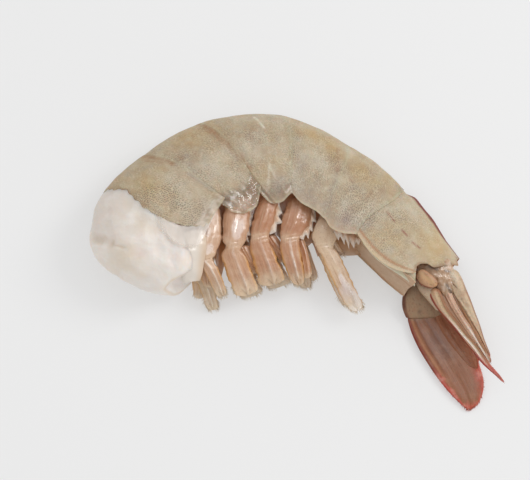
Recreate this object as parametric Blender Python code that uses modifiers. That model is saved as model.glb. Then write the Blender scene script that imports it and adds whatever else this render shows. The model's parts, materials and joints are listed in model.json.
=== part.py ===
"""A raw, headless, shell-on whiteleg shrimp that lies on its right side.

Units: the sizes below are in millimetres and MM turns them into metres.
Frame: +X runs from the cut head end to the tail, +Y is the back, +Z is up from the table.
The origin is the middle of the shrimp's box, at the level of the table.

The body is a chart. A station s counts the joints along the mid line, and at every
station a plane holds the section: v points to the back, u to the shrimp's left side.
The shell plates, the flesh and the hips of the legs are all placed by that chart.
"""
import math

import bmesh
import bpy
import numpy as np
from mathutils import Vector

MM = 0.001
NAME = "whiteleg_shrimp"

# ---- the mid line, joint by joint ------------------------------------------------
START = (-34.35, 0.39)        # where the mid line starts, in the swollen flesh
# step from the joint before, its heading, lean of the joint's plane,
# height and width of the body there, rise of the mid line, roll of the belly upward
JOINTS = (
    (0.0, 0.0, 164.0, 26.0, 16.4, 8.0, 0.0),      # 0: the swollen flesh, in front of the shell
    (9.1, 91.0, 157.0, 24.2, 15.8, 7.55, 0.0),    # 1: front edge of shell 1
    (12.0, 46.6, 148.5, 23.4, 15.6, 7.45, 0.0),   # 2: joint of shells 1 and 2
    (12.4, 28.3, 131.0, 23.2, 15.4, 7.35, 0.0),   # 3: joint of shells 2 and 3
    (13.9, 2.8, 99.0, 21.8, 14.6, 6.95, 3.0),     # 4: joint of shells 3 and 4
    (13.4, -28.5, 75.0, 21.3, 13.4, 6.35, 9.0),   # 5: joint of shells 4 and 5
    (12.2, -36.5, 46.0, 18.2, 11.8, 5.8, 17.0),   # 6: joint of shells 5 and 6
    (18.4, -50.5, 43.0, 15.8, 10.2, 5.2, 20.0),   # 7: rear end of segment 6
)

# ---- the shell --------------------------------------------------------------------
WALL = 0.5                    # thickness of a plate
GAP = 0.35                    # between a plate and what lies under it
SIDE_TURN = 100.0             # degrees from the back, where a plate's side runs straight on
SIDE_SHARE = 0.66             # share of a plate's half width that the round part takes
SIDE_LEAN = 0.12              # how far the straight sides draw in, for each mm down
OVERLAP = 0.16                # of a segment, how far a plate slides under the one before
RISE_RUN = 0.34               # of a segment, how far it takes a plate to come up again
EDGE_BOW = 0.10               # of a segment, how far a rear edge bows back on the flanks
# each plate's hem from front to rear: share of the plate's length, station, and how far
# the hem hangs past the belly there
HEMS = (
    ((0.0, 1.0, 2.3), (0.3, 1.24, 2.9), (0.7, 1.66, 1.8), (1.0, 1.97, 0.6)),
    ((0.0, 1.82, 2.2), (0.25, 1.77, 4.8), (0.5, 1.95, 6.8), (0.75, 2.35, 6.0), (1.0, 2.92, 1.1)),
    ((0.0, 2.76, 3.0), (0.35, 2.78, 6.2), (0.65, 3.26, 5.2), (1.0, 3.88, 1.6)),
    ((0.0, 3.84, 1.4), (0.35, 4.14, 3.2), (0.7, 4.66, 2.4), (1.0, 4.97, 2.6)),
    ((0.0, 4.9, 2.2), (0.4, 5.4, 4.2), (0.75, 5.88, 5.0), (1.0, 6.12, 3.0)),
    ((0.0, 5.98, 1.6), (0.35, 6.36, 2.6), (0.65, 6.64, 1.9), (1.0, 6.96, 0.2)),
)
HEM_TURN = 2.0                # how late down the side a plate's station runs over to its hem's
LOWER_LOBE = 0.25             # share of the hang on the side pressed to the table
KEEL = 1.2                    # height of the ridge on the back of segment 6
KEEL_TURN = 11.0              # degrees from the back that the ridge reaches
# shell 1's front edge: share of the half width, station
FRONT_EDGE = ((0.0, 1.05), (0.31, 1.13), (0.42, 1.16), (0.52, 1.0), (0.62, 0.9), (0.76, 0.76),
              (0.88, 0.78), (1.0, 1.0))
PLATE_ACROSS = 22
PLATE_ALONG = 6

# ---- the flesh --------------------------------------------------------------------
FLESH_DEPTH = WALL + GAP
FLESH_STEP = (0.34, 0.72)     # stations between which the flesh sinks to that depth
GROOVE = WALL + GAP           # further depth where two plates overlap
BELLY = 0.46                  # of the height, from the mid line to the belly
TAIL_BELLY = 0.49             # the same in segment 6, where the belly is flush with the hems
TURN_LEVEL = 0.30             # of the height below the mid line, where the belly's round starts
TURN_SHARE = 0.60             # of the half turn that lies above that
NOSE_SHARE = 0.20             # of the rings that the round front end takes
NOSE_REACH = 9.4              # how far the round end stands out before station 0
NOSE_DRIFT = 1.4              # how far its tip sits toward the belly
NOSE_LUMP = 0.5               # how uneven the swollen end is
TAIL_STOP = 7.02              # the station where the flesh ends inside shell 6
FLESH_ROUND = 24
FLESH_RINGS = 30

# ---- the swimming legs: station, then base, outer branch, inner branch ------------
# a base or a branch is (heading, length, width at its start, width at its end)
LEGS = (
    (1.58, (-97, 9.5, 4.8, 3.8), (-66, 11.8, 2.4, 3.0), (-80, 7.5, 1.8, 1.4)),
    (2.46, (-95, 12.6, 6.4, 5.6), (-77, 13.2, 4.8, 5.6), (-60, 6.5, 2.4, 1.8)),
    (3.28, (-104, 11.6, 6.0, 5.0), (-69, 13.8, 4.4, 4.8), (-54, 6.5, 2.4, 1.8)),
    (4.24, (-105, 9.6, 6.0, 4.6), (-80, 12.0, 4.0, 4.0), (-64, 10.0, 2.4, 2.2)),
    (5.24, (-122, 6.0, 5.8, 4.0), (-63, 19.6, 3.0, 3.4), (-50, 6.0, 2.2, 1.4)),
)
HIP_OUT = 0.40                # of the half width, how far out a leg is set on
LEG_THICK = 3.4
BRANCH_THICK = 1.3
UPPER_FALL = (0.3, -1.1, 6.5, 5.2)     # hip off its chart place, knee off the hip, tips' heights
LOWER_FALL = (0.2, -0.6, 1.1, 0.9)
# for each leg, how much further back its lower twin lies, and its length beside the upper
LOWER_TWIN = ((-7.0, 1.08), (3.0, 0.96), (4.0, 0.96), (9.0, 0.96), (-5.0, 0.86))
ARTICLE_ROUND = 8
ARTICLE_RINGS = 7

# ---- the tail fan, in its own frame: along, across (to the back), up --------------
FAN_HEADING = -66.0
FAN_ROUND = 12
FAN_RINGS = 10
# name, base, tip, tilt of the width over the table, thickness, outline, bow
# an outline row is (share of the length, width on the belly side, width on the back side)
BLADE_EVEN = ((0.0, 0.55, 0.55), (0.3, 0.95, 0.95), (0.6, 1.0, 1.0), (0.85, 0.72, 0.72), (1.0, 0.3, 0.3))
BLADE_POINTED = ((0.0, 0.9, 0.9), (0.15, 1.0, 1.0), (0.5, 0.72, 0.72), (0.85, 0.34, 0.34), (1.0, 0.12, 0.12))
BLADE_FAR = ((0.0, 0.84, 0.62), (0.1, 0.92, 0.8), (0.3, 0.92, 1.1), (0.62, 0.78, 1.36),
             (0.78, 0.55, 1.22), (0.9, 0.38, 1.1), (1.0, 0.1, 0.6))
BASE_OVAL = ((0.0, 0.6, 0.6), (0.3, 1.0, 1.0), (0.7, 1.0, 1.0), (1.0, 0.6, 0.6))
FAN = (
    ("telson", (-0.9, 4.5, 5.0), (24.6, 3.6, 4.6), 76, 4.0, 3.4, BLADE_POINTED, 0.4),
    ("uropod_left_base", (-0.2, -3.9, 8.6), (6.0, -2.3, 8.9), 60, 3.0, 2.4, BASE_OVAL, 0.0),
    ("uropod_left_outer", (5.2, -3.3, 6.4), (31.6, 3.4, 5.2), 68, 0.9, 3.6, BLADE_EVEN, -1.2),
    ("uropod_left_inner", (5.2, -0.2, 6.0), (26.6, 2.2, 5.2), 74, 0.9, 3.0, BLADE_EVEN, -0.6),
    ("uropod_right_base", (0.6, -4.4, 3.5), (9.2, -6.2, 2.6), 12, 2.6, 4.0, BASE_OVAL, 0.0),
    ("uropod_right_outer", (8.9, -6.0, 1.2), (33.4, -5.4, 0.5), 3, 0.9, 5.0, BLADE_FAR, 0.0),
    ("uropod_right_inner", (7.2, -1.2, 2.35), (28.0, 0.8, 2.0), 2, 0.8, 2.8, BLADE_EVEN, 0.0),
)

# ---- colours (linear), roughness ---------------------------------------------------
FLESH_LOOK = ((0.78, 0.70, 0.66, 1.0), 0.35)
SHELL_LOOK = ((0.50, 0.43, 0.34, 1.0), 0.25)
LEG_LOOK = ((0.52, 0.30, 0.20, 1.0), 0.25)
FAN_LOOK = ((0.30, 0.14, 0.10, 1.0), 0.25)


# ---- the chart ---------------------------------------------------------------------
def spine_rows():
    """Each joint as x, y, rise, lean, height, width and roll, walked from START."""
    rows = []
    x, y = START
    for step, heading, lean, height, width, rise, roll in JOINTS:
        x += step * math.cos(math.radians(heading))
        y += step * math.sin(math.radians(heading))
        rows.append((x, y, rise, lean, height, width, roll))
    return np.array(rows)


SPINE = spine_rows()


def station(s):
    """The joint values at station s, on a smooth curve through the joints."""
    last = len(SPINE) - 1
    i = min(max(int(math.floor(s)), 0), last - 1)
    t = s - i
    a, b, c, d = (SPINE[min(max(i + k, 0), last)] for k in (-1, 0, 1, 2))
    if i == 0:
        a = 2 * b - c
    if i == last - 1:
        d = 2 * c - b
    return b + 0.5 * t * (c - a + t * (2 * a - 5 * b + 4 * c - d + t * (3 * (b - c) + d - a)))


def body_point(s, u, v):
    """The place of section point (u, v) at station s."""
    x, y, rise, lean, _, _, roll = station(s)
    lean = math.radians(lean)
    roll = math.radians(roll)
    toward_back = v * math.cos(roll) + u * math.sin(roll)
    up = u * math.cos(roll) - v * math.sin(roll)
    return Vector((x + toward_back * math.cos(lean), y + toward_back * math.sin(lean), rise + up))


def smooth(low, high, x):
    """0 below low, 1 above high, and an even ramp between them."""
    t = min(max((x - low) / (high - low), 0.0), 1.0)
    return t * t * (3 - 2 * t)


def side_path(s, t, depth, drop):
    """Section point at share t (0 on the back, 1 at the hem) of one side's outline.

    depth is measured inward from the plate's outer face, and the hem hangs `drop`
    below the mid line.
    """
    _, _, _, _, height, width, _ = station(s)
    half_h = height / 2
    half_w = width / 2
    turn = math.radians(SIDE_TURN)
    angle = min(t / SIDE_SHARE, 1.0) * turn
    u = half_w * math.sin(angle)
    v = half_h * math.cos(angle)
    keel = KEEL * smooth(6.0, 6.4, s) * math.exp(-(math.degrees(angle) / KEEL_TURN) ** 2)
    normal = Vector((half_h * math.sin(angle), half_w * math.cos(angle)))
    normal.normalize()
    if t > SIDE_SHARE:
        share = (t - SIDE_SHARE) / (1 - SIDE_SHARE)
        fall = share * (drop + v)
        u -= SIDE_LEAN * fall
        v -= fall
    return u - depth * normal.x, v + keel - depth * normal.y


def reading(rows, q):
    """Values of a row table at share q, eased between its rows."""
    for low, high in zip(rows, rows[1:]):
        if q <= high[0]:
            t = (q - low[0]) / (high[0] - low[0])
            t = t * t * (3 - 2 * t) * 0.5 + t * 0.5
            return tuple(a + t * (b - a) for a, b in zip(low[1:], high[1:]))
    return rows[-1][1:]


def rear_edge(joint, t):
    """Station of the rear edge over a joint: it bows back on the flanks."""
    if joint == 1:
        return reading(FRONT_EDGE, min(abs(t), 1.0))[0]
    bow = EDGE_BOW * math.sin(math.pi * min(abs(t), 1.0)) ** 2
    if joint == len(JOINTS) - 1:
        bow = 0.17 * math.exp(-(t / 0.22) ** 2) - 0.11 * math.exp(-((abs(t) - 0.7) / 0.16) ** 2)
        bow -= 0.04
    return joint + bow


# ---- making meshes -----------------------------------------------------------------
def finish(obj, look, collection):
    """Name the data, give the material and move the object to the collection."""
    colour, roughness = look
    material = bpy.data.materials.new(obj.name + "_surface")
    material.use_nodes = True
    shader = material.node_tree.nodes["Principled BSDF"]
    shader.inputs["Base Color"].default_value = colour
    shader.inputs["Roughness"].default_value = roughness
    shader.inputs["Metallic"].default_value = 0.0
    obj.data.name = obj.name
    obj.data.materials.clear()
    obj.data.materials.append(material)
    obj.data.shade_smooth()
    obj.data.set_sharp_from_angle(angle=math.radians(50))
    for old in list(obj.users_collection):
        old.objects.unlink(obj)
    collection.objects.link(obj)
    return obj


def wrapped_grid(name, across, along, place):
    """A grid primitive whose corners are put where place(p, q) says, p and q in -1..1."""
    bpy.ops.mesh.primitive_grid_add(x_subdivisions=across, y_subdivisions=along, size=2)
    obj = bpy.context.object
    obj.name = name
    for corner in obj.data.vertices:
        corner.co = place(corner.co.x, corner.co.y) * MM
    return obj


def wrapped_ball(name, around, rings, place):
    """A sphere primitive put where place(q, angle) says: q runs 0..1 from pole to pole."""
    bpy.ops.mesh.primitive_uv_sphere_add(segments=around, ring_count=rings, radius=1)
    obj = bpy.context.object
    obj.name = name
    for corner in obj.data.vertices:
        q = 0.5 + math.asin(min(max(corner.co.z, -1.0), 1.0)) / math.pi
        corner.co = place(q, math.atan2(corner.co.y, corner.co.x)) * MM
    shape = bmesh.new()
    shape.from_mesh(obj.data)
    bmesh.ops.recalc_face_normals(shape, faces=shape.faces)
    shape.to_mesh(obj.data)
    shape.free()
    return obj


def fuse(body, extras):
    """Union the extras into the body and remove them."""
    for extra in extras:
        union = body.modifiers.new("union", "BOOLEAN")
        union.operation = "UNION"
        union.solver = "EXACT"
        union.object = extra
        bpy.context.view_layer.objects.active = body
        bpy.ops.object.modifier_apply(modifier=union.name)
        bpy.data.objects.remove(extra, do_unlink=True)
    return body


# ---- shell and flesh ---------------------------------------------------------------
def make_plate(number, collection):
    """One plate: an open sheet on the chart, thickened inward."""
    joint = number + 1

    def place(p, q):
        t = abs(p)
        side = 1.0 if p >= 0 else -1.0
        front = rear_edge(number, p)
        if number > 1:
            front -= OVERLAP
        rear = rear_edge(joint, p)
        share = (q + 1) / 2
        s = front + share * (rear - front)
        depth = 0.0
        if number > 1:
            past = s - rear_edge(number, p)
            depth = (WALL + GAP) * (1 - smooth(0.03, RISE_RUN, past))
        hem_s, hang = reading(HEMS[number - 1], share)
        late = max(t - SIDE_SHARE, 0.0) / (1 - SIDE_SHARE)
        s += (hem_s - s) * late ** HEM_TURN * (1.0 if p >= 0 else LOWER_LOBE)
        drop = station(s)[4] / 2 + hang * (1.0 if p >= 0 else LOWER_LOBE)
        u, v = side_path(s, t, depth, drop)
        point = body_point(s, side * u, v)
        point.z = max(point.z, depth)
        return point

    plate = wrapped_grid(f"shell_{number}", PLATE_ACROSS, PLATE_ALONG, place)
    wall = plate.modifiers.new("wall", "SOLIDIFY")
    wall.thickness = WALL * MM
    wall.offset = -1.0
    return finish(plate, SHELL_LOOK, collection)


def flesh_section(s, angle, depth):
    """Section point of the flesh: the plates' outline on top, a round belly below."""
    height = station(s)[4]
    belly = BELLY + (TAIL_BELLY - BELLY) * smooth(5.4, 6.2, s)
    share = abs(angle) / math.pi
    side = 1.0 if angle >= 0 else -1.0
    v_turn = TURN_LEVEL * height
    if share <= TURN_SHARE:
        u, v = side_path(s, share / TURN_SHARE, depth, v_turn)
    else:
        u_turn, v_start = side_path(s, 1.0, depth, v_turn)
        round_share = (share - TURN_SHARE) / (1 - TURN_SHARE) * math.pi / 2
        u = u_turn * math.cos(round_share)
        v = v_start - (belly * height + v_start) * math.sin(round_share)
    return side * u, v


def lump(s, angle):
    """Slow swellings of the flesh where no shell covers it."""
    bare = 1 - smooth(0.2, 1.0, s)
    waves = math.sin(2 * angle + 1.3) + 0.7 * math.sin(3 * angle - 2.2 * s + 0.4)
    return NOSE_LUMP * bare * waves


def make_flesh(collection):
    """The whole flesh: a ball drawn out along the chart, its front end bare and swollen."""
    def place(q, angle):
        if q < NOSE_SHARE:
            turn = q / NOSE_SHARE * math.pi / 2
            scale = math.sin(turn) ** 0.8
            s = 0.0
            reach = NOSE_REACH * math.cos(turn)
        else:
            s = (q - NOSE_SHARE) / (1 - NOSE_SHARE) * TAIL_STOP
            scale = (1 - smooth(TAIL_STOP - 0.25, TAIL_STOP, s)) ** 0.5
            reach = 0.0
        depth = FLESH_DEPTH * smooth(*FLESH_STEP, s) - 0.3 * (1 - smooth(0.1, 0.5, s))
        for joint in range(2, 7):
            near = abs(s - joint - 0.02)
            depth += GROOVE * (1 - smooth(0.24, 0.42, near))
        u, v = flesh_section(s, angle, depth)
        grow = scale * (1 + lump(s - reach / NOSE_REACH, angle) / 12)
        point = body_point(s, u * grow, v * grow)
        heading = math.radians(JOINTS[1][1])
        point.x -= reach * math.cos(heading) - NOSE_DRIFT * (reach / NOSE_REACH) ** 2
        point.y -= reach * math.sin(heading)
        point.z = max(point.z, depth, 0.0)
        return point

    return finish(wrapped_ball("flesh", FLESH_ROUND, FLESH_RINGS, place), FLESH_LOOK, collection)


# ---- legs and tail fan -------------------------------------------------------------
def article(name, start, end, tilt, thickness, half_width, outline, bow, look, collection,
            around=ARTICLE_ROUND, rings=ARTICLE_RINGS):
    """One limb article or blade from start to end, as a flattened ball.

    tilt turns its width up from the table, and bow bends its middle sideways.
    """
    start = Vector(start)
    end = Vector(end)
    run = (end - start).normalized()
    level = Vector((0, 0, 1)).cross(run).normalized()
    upright = run.cross(level)
    wide = level * math.cos(math.radians(tilt)) + upright * math.sin(math.radians(tilt))
    thick = run.cross(wide)

    def place(q, angle):
        q = (1 - math.cos(math.pi * q)) / 2
        blunt = (1 - abs(2 * q - 1) ** 4) ** 0.5
        belly_side, back_side = reading(outline, q)
        across = math.cos(angle)
        reach = half_width * (back_side if across > 0 else belly_side) * across * blunt
        centre = start.lerp(end, q) + level * bow * math.sin(math.pi * q)
        deep = 0.5 * thickness * math.sin(angle) * blunt ** 0.7
        point = centre + wide * reach + thick * deep
        point.z = max(point.z, 0.0)
        return point

    return finish(wrapped_ball(name, around, rings, place), look, collection)


def leg_point(point, heading, length, height):
    """The end of a stretch that starts at point and runs to the given height."""
    turn = math.radians(heading)
    return Vector((point.x + length * math.cos(turn), point.y + length * math.sin(turn), height))


def make_leg(number, side, collection):
    """A swimming leg: a stout base with an outer and an inner branch fused to it."""
    s, base, outer, inner = LEGS[number - 1]
    near = side == "left"
    sign = 1.0 if near else -1.0
    hip_off, knee_off, inner_z, outer_z = UPPER_FALL if near else LOWER_FALL
    lag, scale = (0.0, 1.0) if near else LOWER_TWIN[number - 1]
    row = station(s)
    hip = body_point(s, sign * HIP_OUT * row[5] / 2, -BELLY * row[4] - GAP - 0.25)
    hip.z += hip_off
    name = f"pleopod_{side}_{number}"

    def stretch(part, start, measures, end_z, thick):
        heading, length, wide_in, wide_out = measures
        end = leg_point(start, heading + lag, length * scale, end_z)
        half = wide_in / 2
        outline = ((0.0, 1.0, 1.0), (1.0, wide_out / wide_in, wide_out / wide_in))
        return article(part, start, end, 0.0, thick, half, outline, 0.0, LEG_LOOK, collection), end

    body, knee = stretch(name, hip, base, hip.z + knee_off, LEG_THICK)
    branch_out, _ = stretch(name + "_outer", hip.lerp(knee, 0.88), outer, outer_z, BRANCH_THICK)
    branch_in, _ = stretch(name + "_inner", hip.lerp(knee, 0.80), inner, inner_z, BRANCH_THICK)
    return fuse(body, (branch_out, branch_in))


def fan_point(along, across, up):
    """A place in the fan's own frame, which starts at the end of the mid line."""
    turn = math.radians(FAN_HEADING)
    x, y = SPINE[-1][:2]
    return Vector((x + along * math.cos(turn) - across * math.sin(turn),
                   y + along * math.sin(turn) + across * math.cos(turn), up))


def make_fan(collection):
    """The telson and the two uropods, each a base with an outer and an inner blade."""
    for name, base, tip, tilt, thickness, half_width, outline, bow in FAN:
        article(name, fan_point(*base), fan_point(*tip), tilt, thickness, half_width, outline,
                bow, FAN_LOOK, collection, FAN_ROUND, FAN_RINGS)


def clear_scene():
    """Remove what the scene holds."""
    for obj in list(bpy.data.objects):
        bpy.data.objects.remove(obj, do_unlink=True)


def main():
    clear_scene()
    collection = bpy.data.collections.new(NAME)
    bpy.context.scene.collection.children.link(collection)
    make_flesh(collection)
    for number in range(1, 7):
        make_plate(number, collection)
    for side in ("left", "right"):
        for number in range(1, 6):
            make_leg(number, side, collection)
    make_fan(collection)


main()
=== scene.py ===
# %% [markdown]
# # A raw whiteleg shrimp, headless and shell-on
# The shrimp lies on its right side on a white table. The CAD model gives the places and the
# sizes, and this lesson dresses it: swollen white flesh where the head was cut off, six
# overlapping shell plates, five pairs of swimming legs and the tail fan.
# All sizes below are in millimetres, and MM turns them into Blender's metres.

# %% Load the frame
import json
import math

import bmesh
import bpy
import numpy as np
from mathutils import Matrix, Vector, noise

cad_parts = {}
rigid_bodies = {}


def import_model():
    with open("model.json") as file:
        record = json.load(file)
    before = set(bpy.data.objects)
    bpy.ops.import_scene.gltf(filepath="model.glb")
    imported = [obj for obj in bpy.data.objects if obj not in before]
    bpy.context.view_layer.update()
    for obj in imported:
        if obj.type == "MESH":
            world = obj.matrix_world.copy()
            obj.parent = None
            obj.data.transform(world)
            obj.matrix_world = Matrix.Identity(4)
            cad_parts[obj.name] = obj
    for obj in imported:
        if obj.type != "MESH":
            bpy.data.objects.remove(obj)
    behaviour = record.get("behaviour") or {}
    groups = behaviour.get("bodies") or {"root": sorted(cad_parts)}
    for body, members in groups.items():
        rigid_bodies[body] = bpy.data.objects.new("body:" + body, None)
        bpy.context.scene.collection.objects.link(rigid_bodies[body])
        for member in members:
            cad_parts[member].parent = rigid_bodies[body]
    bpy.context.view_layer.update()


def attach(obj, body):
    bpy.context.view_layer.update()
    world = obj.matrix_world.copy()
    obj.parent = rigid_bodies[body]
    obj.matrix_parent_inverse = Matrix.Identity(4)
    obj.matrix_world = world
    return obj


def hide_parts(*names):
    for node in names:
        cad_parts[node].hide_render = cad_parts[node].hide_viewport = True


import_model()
MM = 0.001

# %% [markdown]
# ## The camera
# The photograph looks steeply down on the table, about 70 degrees above the horizon, from
# some distance, so the lens is long and the lines stay nearly parallel. A camera that is
# turned by a direction vector needs no guessed angles.

# %% Make the camera
VIEW_ELEVATION = math.radians(70)
VIEW_TARGET = Vector((-6.75, 3.69, 7.0)) * MM
VIEW_DISTANCE = 346 * MM

LENS, SENSOR = 100, 36        # mm: a long lens on a full frame

camera_data = bpy.data.cameras.new("camera")
camera_data.lens = LENS
camera_data.sensor_width = SENSOR
camera_data.clip_start = 0.01
camera_data.clip_end = 10
camera = bpy.data.objects.new("camera", camera_data)
bpy.context.scene.collection.objects.link(camera)
back = Vector((0, -math.cos(VIEW_ELEVATION), math.sin(VIEW_ELEVATION)))
camera.location = VIEW_TARGET + back * VIEW_DISTANCE
camera.rotation_mode = "QUATERNION"
camera.rotation_quaternion = (-back).to_track_quat("-Z", "Y")
bpy.context.scene.camera = camera
print("camera stands", round(VIEW_DISTANCE / MM), "mm from the shrimp")

# %% [markdown]
# ## The body chart
# The shrimp curls, so a straight ruler is no use along it. The chart is a bent ruler: a
# station s counts the joints along the mid line, and at every station a plane holds the
# section, with v pointing to the back and u to the left side, which lies uppermost here.
# Each shell plate, the flesh and the hips of the legs are placed by it, as in the CAD model.

# %% The mid line
START = (-34.35, 0.39)        # x and y of the first joint, mm
# step and heading from the joint before, lean of the joint's plane, height and width of the
# section, rise of the mid line, roll; lengths in mm and angles in degrees
JOINTS = (
    (0.0, 0.0, 164.0, 26.0, 16.4, 8.0, 0.0),
    (9.1, 91.0, 157.0, 24.2, 15.8, 7.55, 0.0),
    (12.0, 46.6, 148.5, 23.4, 15.6, 7.45, 0.0),
    (12.4, 28.3, 131.0, 23.2, 15.4, 7.35, 0.0),
    (13.9, 2.8, 99.0, 21.8, 14.6, 6.95, 3.0),
    (13.4, -28.5, 75.0, 21.3, 13.4, 6.35, 9.0),
    (12.2, -36.5, 46.0, 18.2, 11.8, 5.8, 17.0),
    (18.4, -50.5, 43.0, 15.8, 10.2, 5.2, 20.0),
)
HEIGHT, WIDTH = 4, 5          # their columns in a station's row


def with_ends(rows):
    """The rows with one more at each end, in line with the two beside it."""
    rows = np.array(rows, float)
    return np.vstack([2 * rows[0] - rows[1], rows, 2 * rows[-1] - rows[-2]])


def spine_rows():
    """Each joint as x, y, rise, lean, height, width, roll, with one row more at each end."""
    rows, (x, y) = [], START
    for step, heading, lean, height, width, rise, roll in JOINTS:
        x += step * math.cos(math.radians(heading))
        y += step * math.sin(math.radians(heading))
        rows.append((x, y, rise, lean, height, width, roll))
    return with_ends(rows)


SPINE = spine_rows()


def spline(rows, x):
    """Rows of numbers read at x on a smooth curve, where 0 is the second row."""
    i = np.clip(np.floor(x).astype(int), 0, len(rows) - 4)
    t = (x - i)[..., None]
    a, b, c, d = (rows[i + k] for k in range(4))
    return b + 0.5 * t * (c - a + t * (2 * a - 5 * b + 4 * c - d + t * (3 * (b - c) + d - a)))


def station(s):
    """The joint values at stations s."""
    return spline(SPINE, np.asarray(s, float))


def body_points(s, u, v):
    """The places of section points (u, v) at stations s."""
    row = station(s)
    lean, roll = np.radians(row[..., 3]), np.radians(row[..., 6])
    toward_back = v * np.cos(roll) + u * np.sin(roll)
    up = u * np.cos(roll) - v * np.sin(roll)
    return np.stack([row[..., 0] + toward_back * np.cos(lean),
                     row[..., 1] + toward_back * np.sin(lean), row[..., 2] + up], -1)


def smooth(low, high, x):
    """0 below low, 1 above high, and an even ramp between them."""
    t = np.clip((x - low) / (high - low), 0.0, 1.0)
    return t * t * (3 - 2 * t)


def hill(x, middle, reach):
    """1 at the middle, and down to a third one reach away."""
    return np.exp(-((x - middle) / reach) ** 2)


print("mid line runs", round(sum(row[0] for row in JOINTS)), "mm from flesh to tail")

# %% [markdown]
# ## One side of the section
# A plate is round over the back and straight down the flank. A share t runs from 0 on the
# back to 1 at the hem, and depth is measured inward from the outer face, so that the same
# rule gives a plate, the plate below it and the flesh.

# %% Numbers of the section and the edges
WALL, GAP = 0.5, 0.35         # a CAD plate's wall and the room below it, mm
SIDE_TURN = 100.0             # how far the round part of one side turns, degrees
SIDE_SHARE = 0.66             # the share t at which it ends and the flank begins
SIDE_LEAN = 0.12              # how far the flank leans inward for each mm that it falls
OVERLAP = 0.16                # how far a plate reaches below the one in front, stations
EDGE_BOW = 0.10               # how far a rear edge bows back on the flanks, stations
KEEL, KEEL_TURN = 1.9, 10.0   # the ridge on segment 6: height in mm, half width in degrees
KEEL_RISE, KEEL_FALL = (5.98, 6.2), (6.5, 7.0)     # the stations where it rises and sinks
HEM_TURN = 2.0                # how late on the flank a plate's edges turn to its hem
LOWER_LOBE = 0.25             # hang of the right lobes, on the table, against the left ones
# hems from front to rear: share of the plate's length, station, hang past the belly
HEMS = (
    ((0.0, 1.0, 2.3), (0.3, 1.24, 2.9), (0.7, 1.66, 1.8), (1.0, 1.97, 0.6)),
    ((0.0, 1.82, 2.2), (0.25, 1.77, 4.8), (0.5, 1.95, 6.8), (0.75, 2.35, 6.0), (1.0, 2.92, 1.1)),
    ((0.0, 2.76, 3.0), (0.35, 2.78, 6.2), (0.65, 3.26, 5.2), (1.0, 3.88, 1.6)),
    ((0.0, 3.84, 1.4), (0.35, 4.14, 3.2), (0.7, 4.66, 2.4), (1.0, 4.97, 2.6)),
    ((0.0, 4.9, 2.2), (0.4, 5.4, 4.2), (0.75, 5.88, 5.0), (1.0, 6.12, 3.0)),
    ((0.0, 5.98, 1.7), (0.17, 6.17, 2.85), (0.35, 6.35, 3.6), (0.5, 6.5, 3.65),
     (0.65, 6.65, 3.15), (0.82, 6.82, 1.7), (1.0, 6.96, -0.5)),
)
# the front edge of plate 1 and the rear edge of plate 6: share t, station
FRONT_EDGE = ((0.0, 1.05), (0.31, 1.13), (0.42, 1.16), (0.52, 1.0), (0.62, 0.9), (0.76, 0.76),
              (0.88, 0.78), (1.0, 1.0))
REAR_EDGE = ((0.0, 7.13), (0.32, 7.16), (0.41, 7.24), (0.5, 7.18), (0.59, 7.12), (0.71, 7.07),
             (0.75, 6.97), (0.83, 6.91), (0.89, 6.88), (1.0, 7.0))
print("plates", len(HEMS), "with", sum(len(hem) for hem in HEMS), "points on their hems")

# %% Reading the outlines
def reading(rows, q):
    """Values of a row table at shares q, eased between its rows."""
    table = np.array(rows, float)
    q = np.clip(q, table[0, 0], table[-1, 0])
    i = np.clip(np.searchsorted(table[:, 0], q, side="left") - 1, 0, len(table) - 2)
    low, high = table[i], table[i + 1]
    t = (q - low[..., 0]) / (high[..., 0] - low[..., 0])
    t = (t * t * (3 - 2 * t) * 0.5 + t * 0.5)[..., None]
    return np.moveaxis(low[..., 1:] + t * (high[..., 1:] - low[..., 1:]), -1, 0)


def curve(rows, x):
    """Rows of numbers read at positions x on a smooth curve, where 0 is the first row."""
    return spline(with_ends(rows), x)


def hem_line(number, share):
    """Station and hang of a plate's hem at shares of its length."""
    rows = np.array(HEMS[number - 1])
    return curve(rows[:, 1:], np.interp(share, rows[:, 0], np.arange(len(rows)))).T


def side_path(s, t, depth, drop):
    """Section points at shares t of one side's outline, at an inward depth."""
    row = station(s)
    half_h, half_w = row[..., HEIGHT] / 2, row[..., WIDTH] / 2
    angle = np.minimum(t / SIDE_SHARE, 1.0) * math.radians(SIDE_TURN)
    keel = KEEL * smooth(*KEEL_RISE, s) * hill(np.degrees(angle), 0.0, KEEL_TURN)
    keel = keel * (1 - 0.45 * smooth(*KEEL_FALL, s))
    out_u, out_v = half_h * np.sin(angle), half_w * np.cos(angle)
    size = np.hypot(out_u, out_v)
    v = half_h * np.cos(angle)
    fall = np.maximum((t - SIDE_SHARE) / (1 - SIDE_SHARE), 0.0) * (drop + v)
    u = half_w * np.sin(angle) - SIDE_LEAN * fall
    return u - depth * out_u / size, v - fall + keel - depth * out_v / size


def rear_edge(joint, p):
    """Station of the rear edge over a joint: it bows back on the flanks."""
    t = np.minimum(np.abs(p), 1.0)
    if joint == 1:
        return reading(FRONT_EDGE, t)[0]
    if joint == len(JOINTS) - 1:
        return reading(REAR_EDGE, t)[0]
    return joint + EDGE_BOW * np.sin(math.pi * t) ** 2


print("rear edge 3 bows back to", rear_edge(3, np.array([0.5])), "on the flank")

# %% [markdown]
# ## Helpers for wrapped pieces
# Shell and flesh are grown shapes: no extrusion gives their even, bent roundness. So a
# primitive is added with enough faces, and each of its corners is moved to where the chart
# says it belongs. What the eye sees there, such as a stain or a thin rim, is painted on the
# same corners as an attribute, which a material can read.

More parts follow.
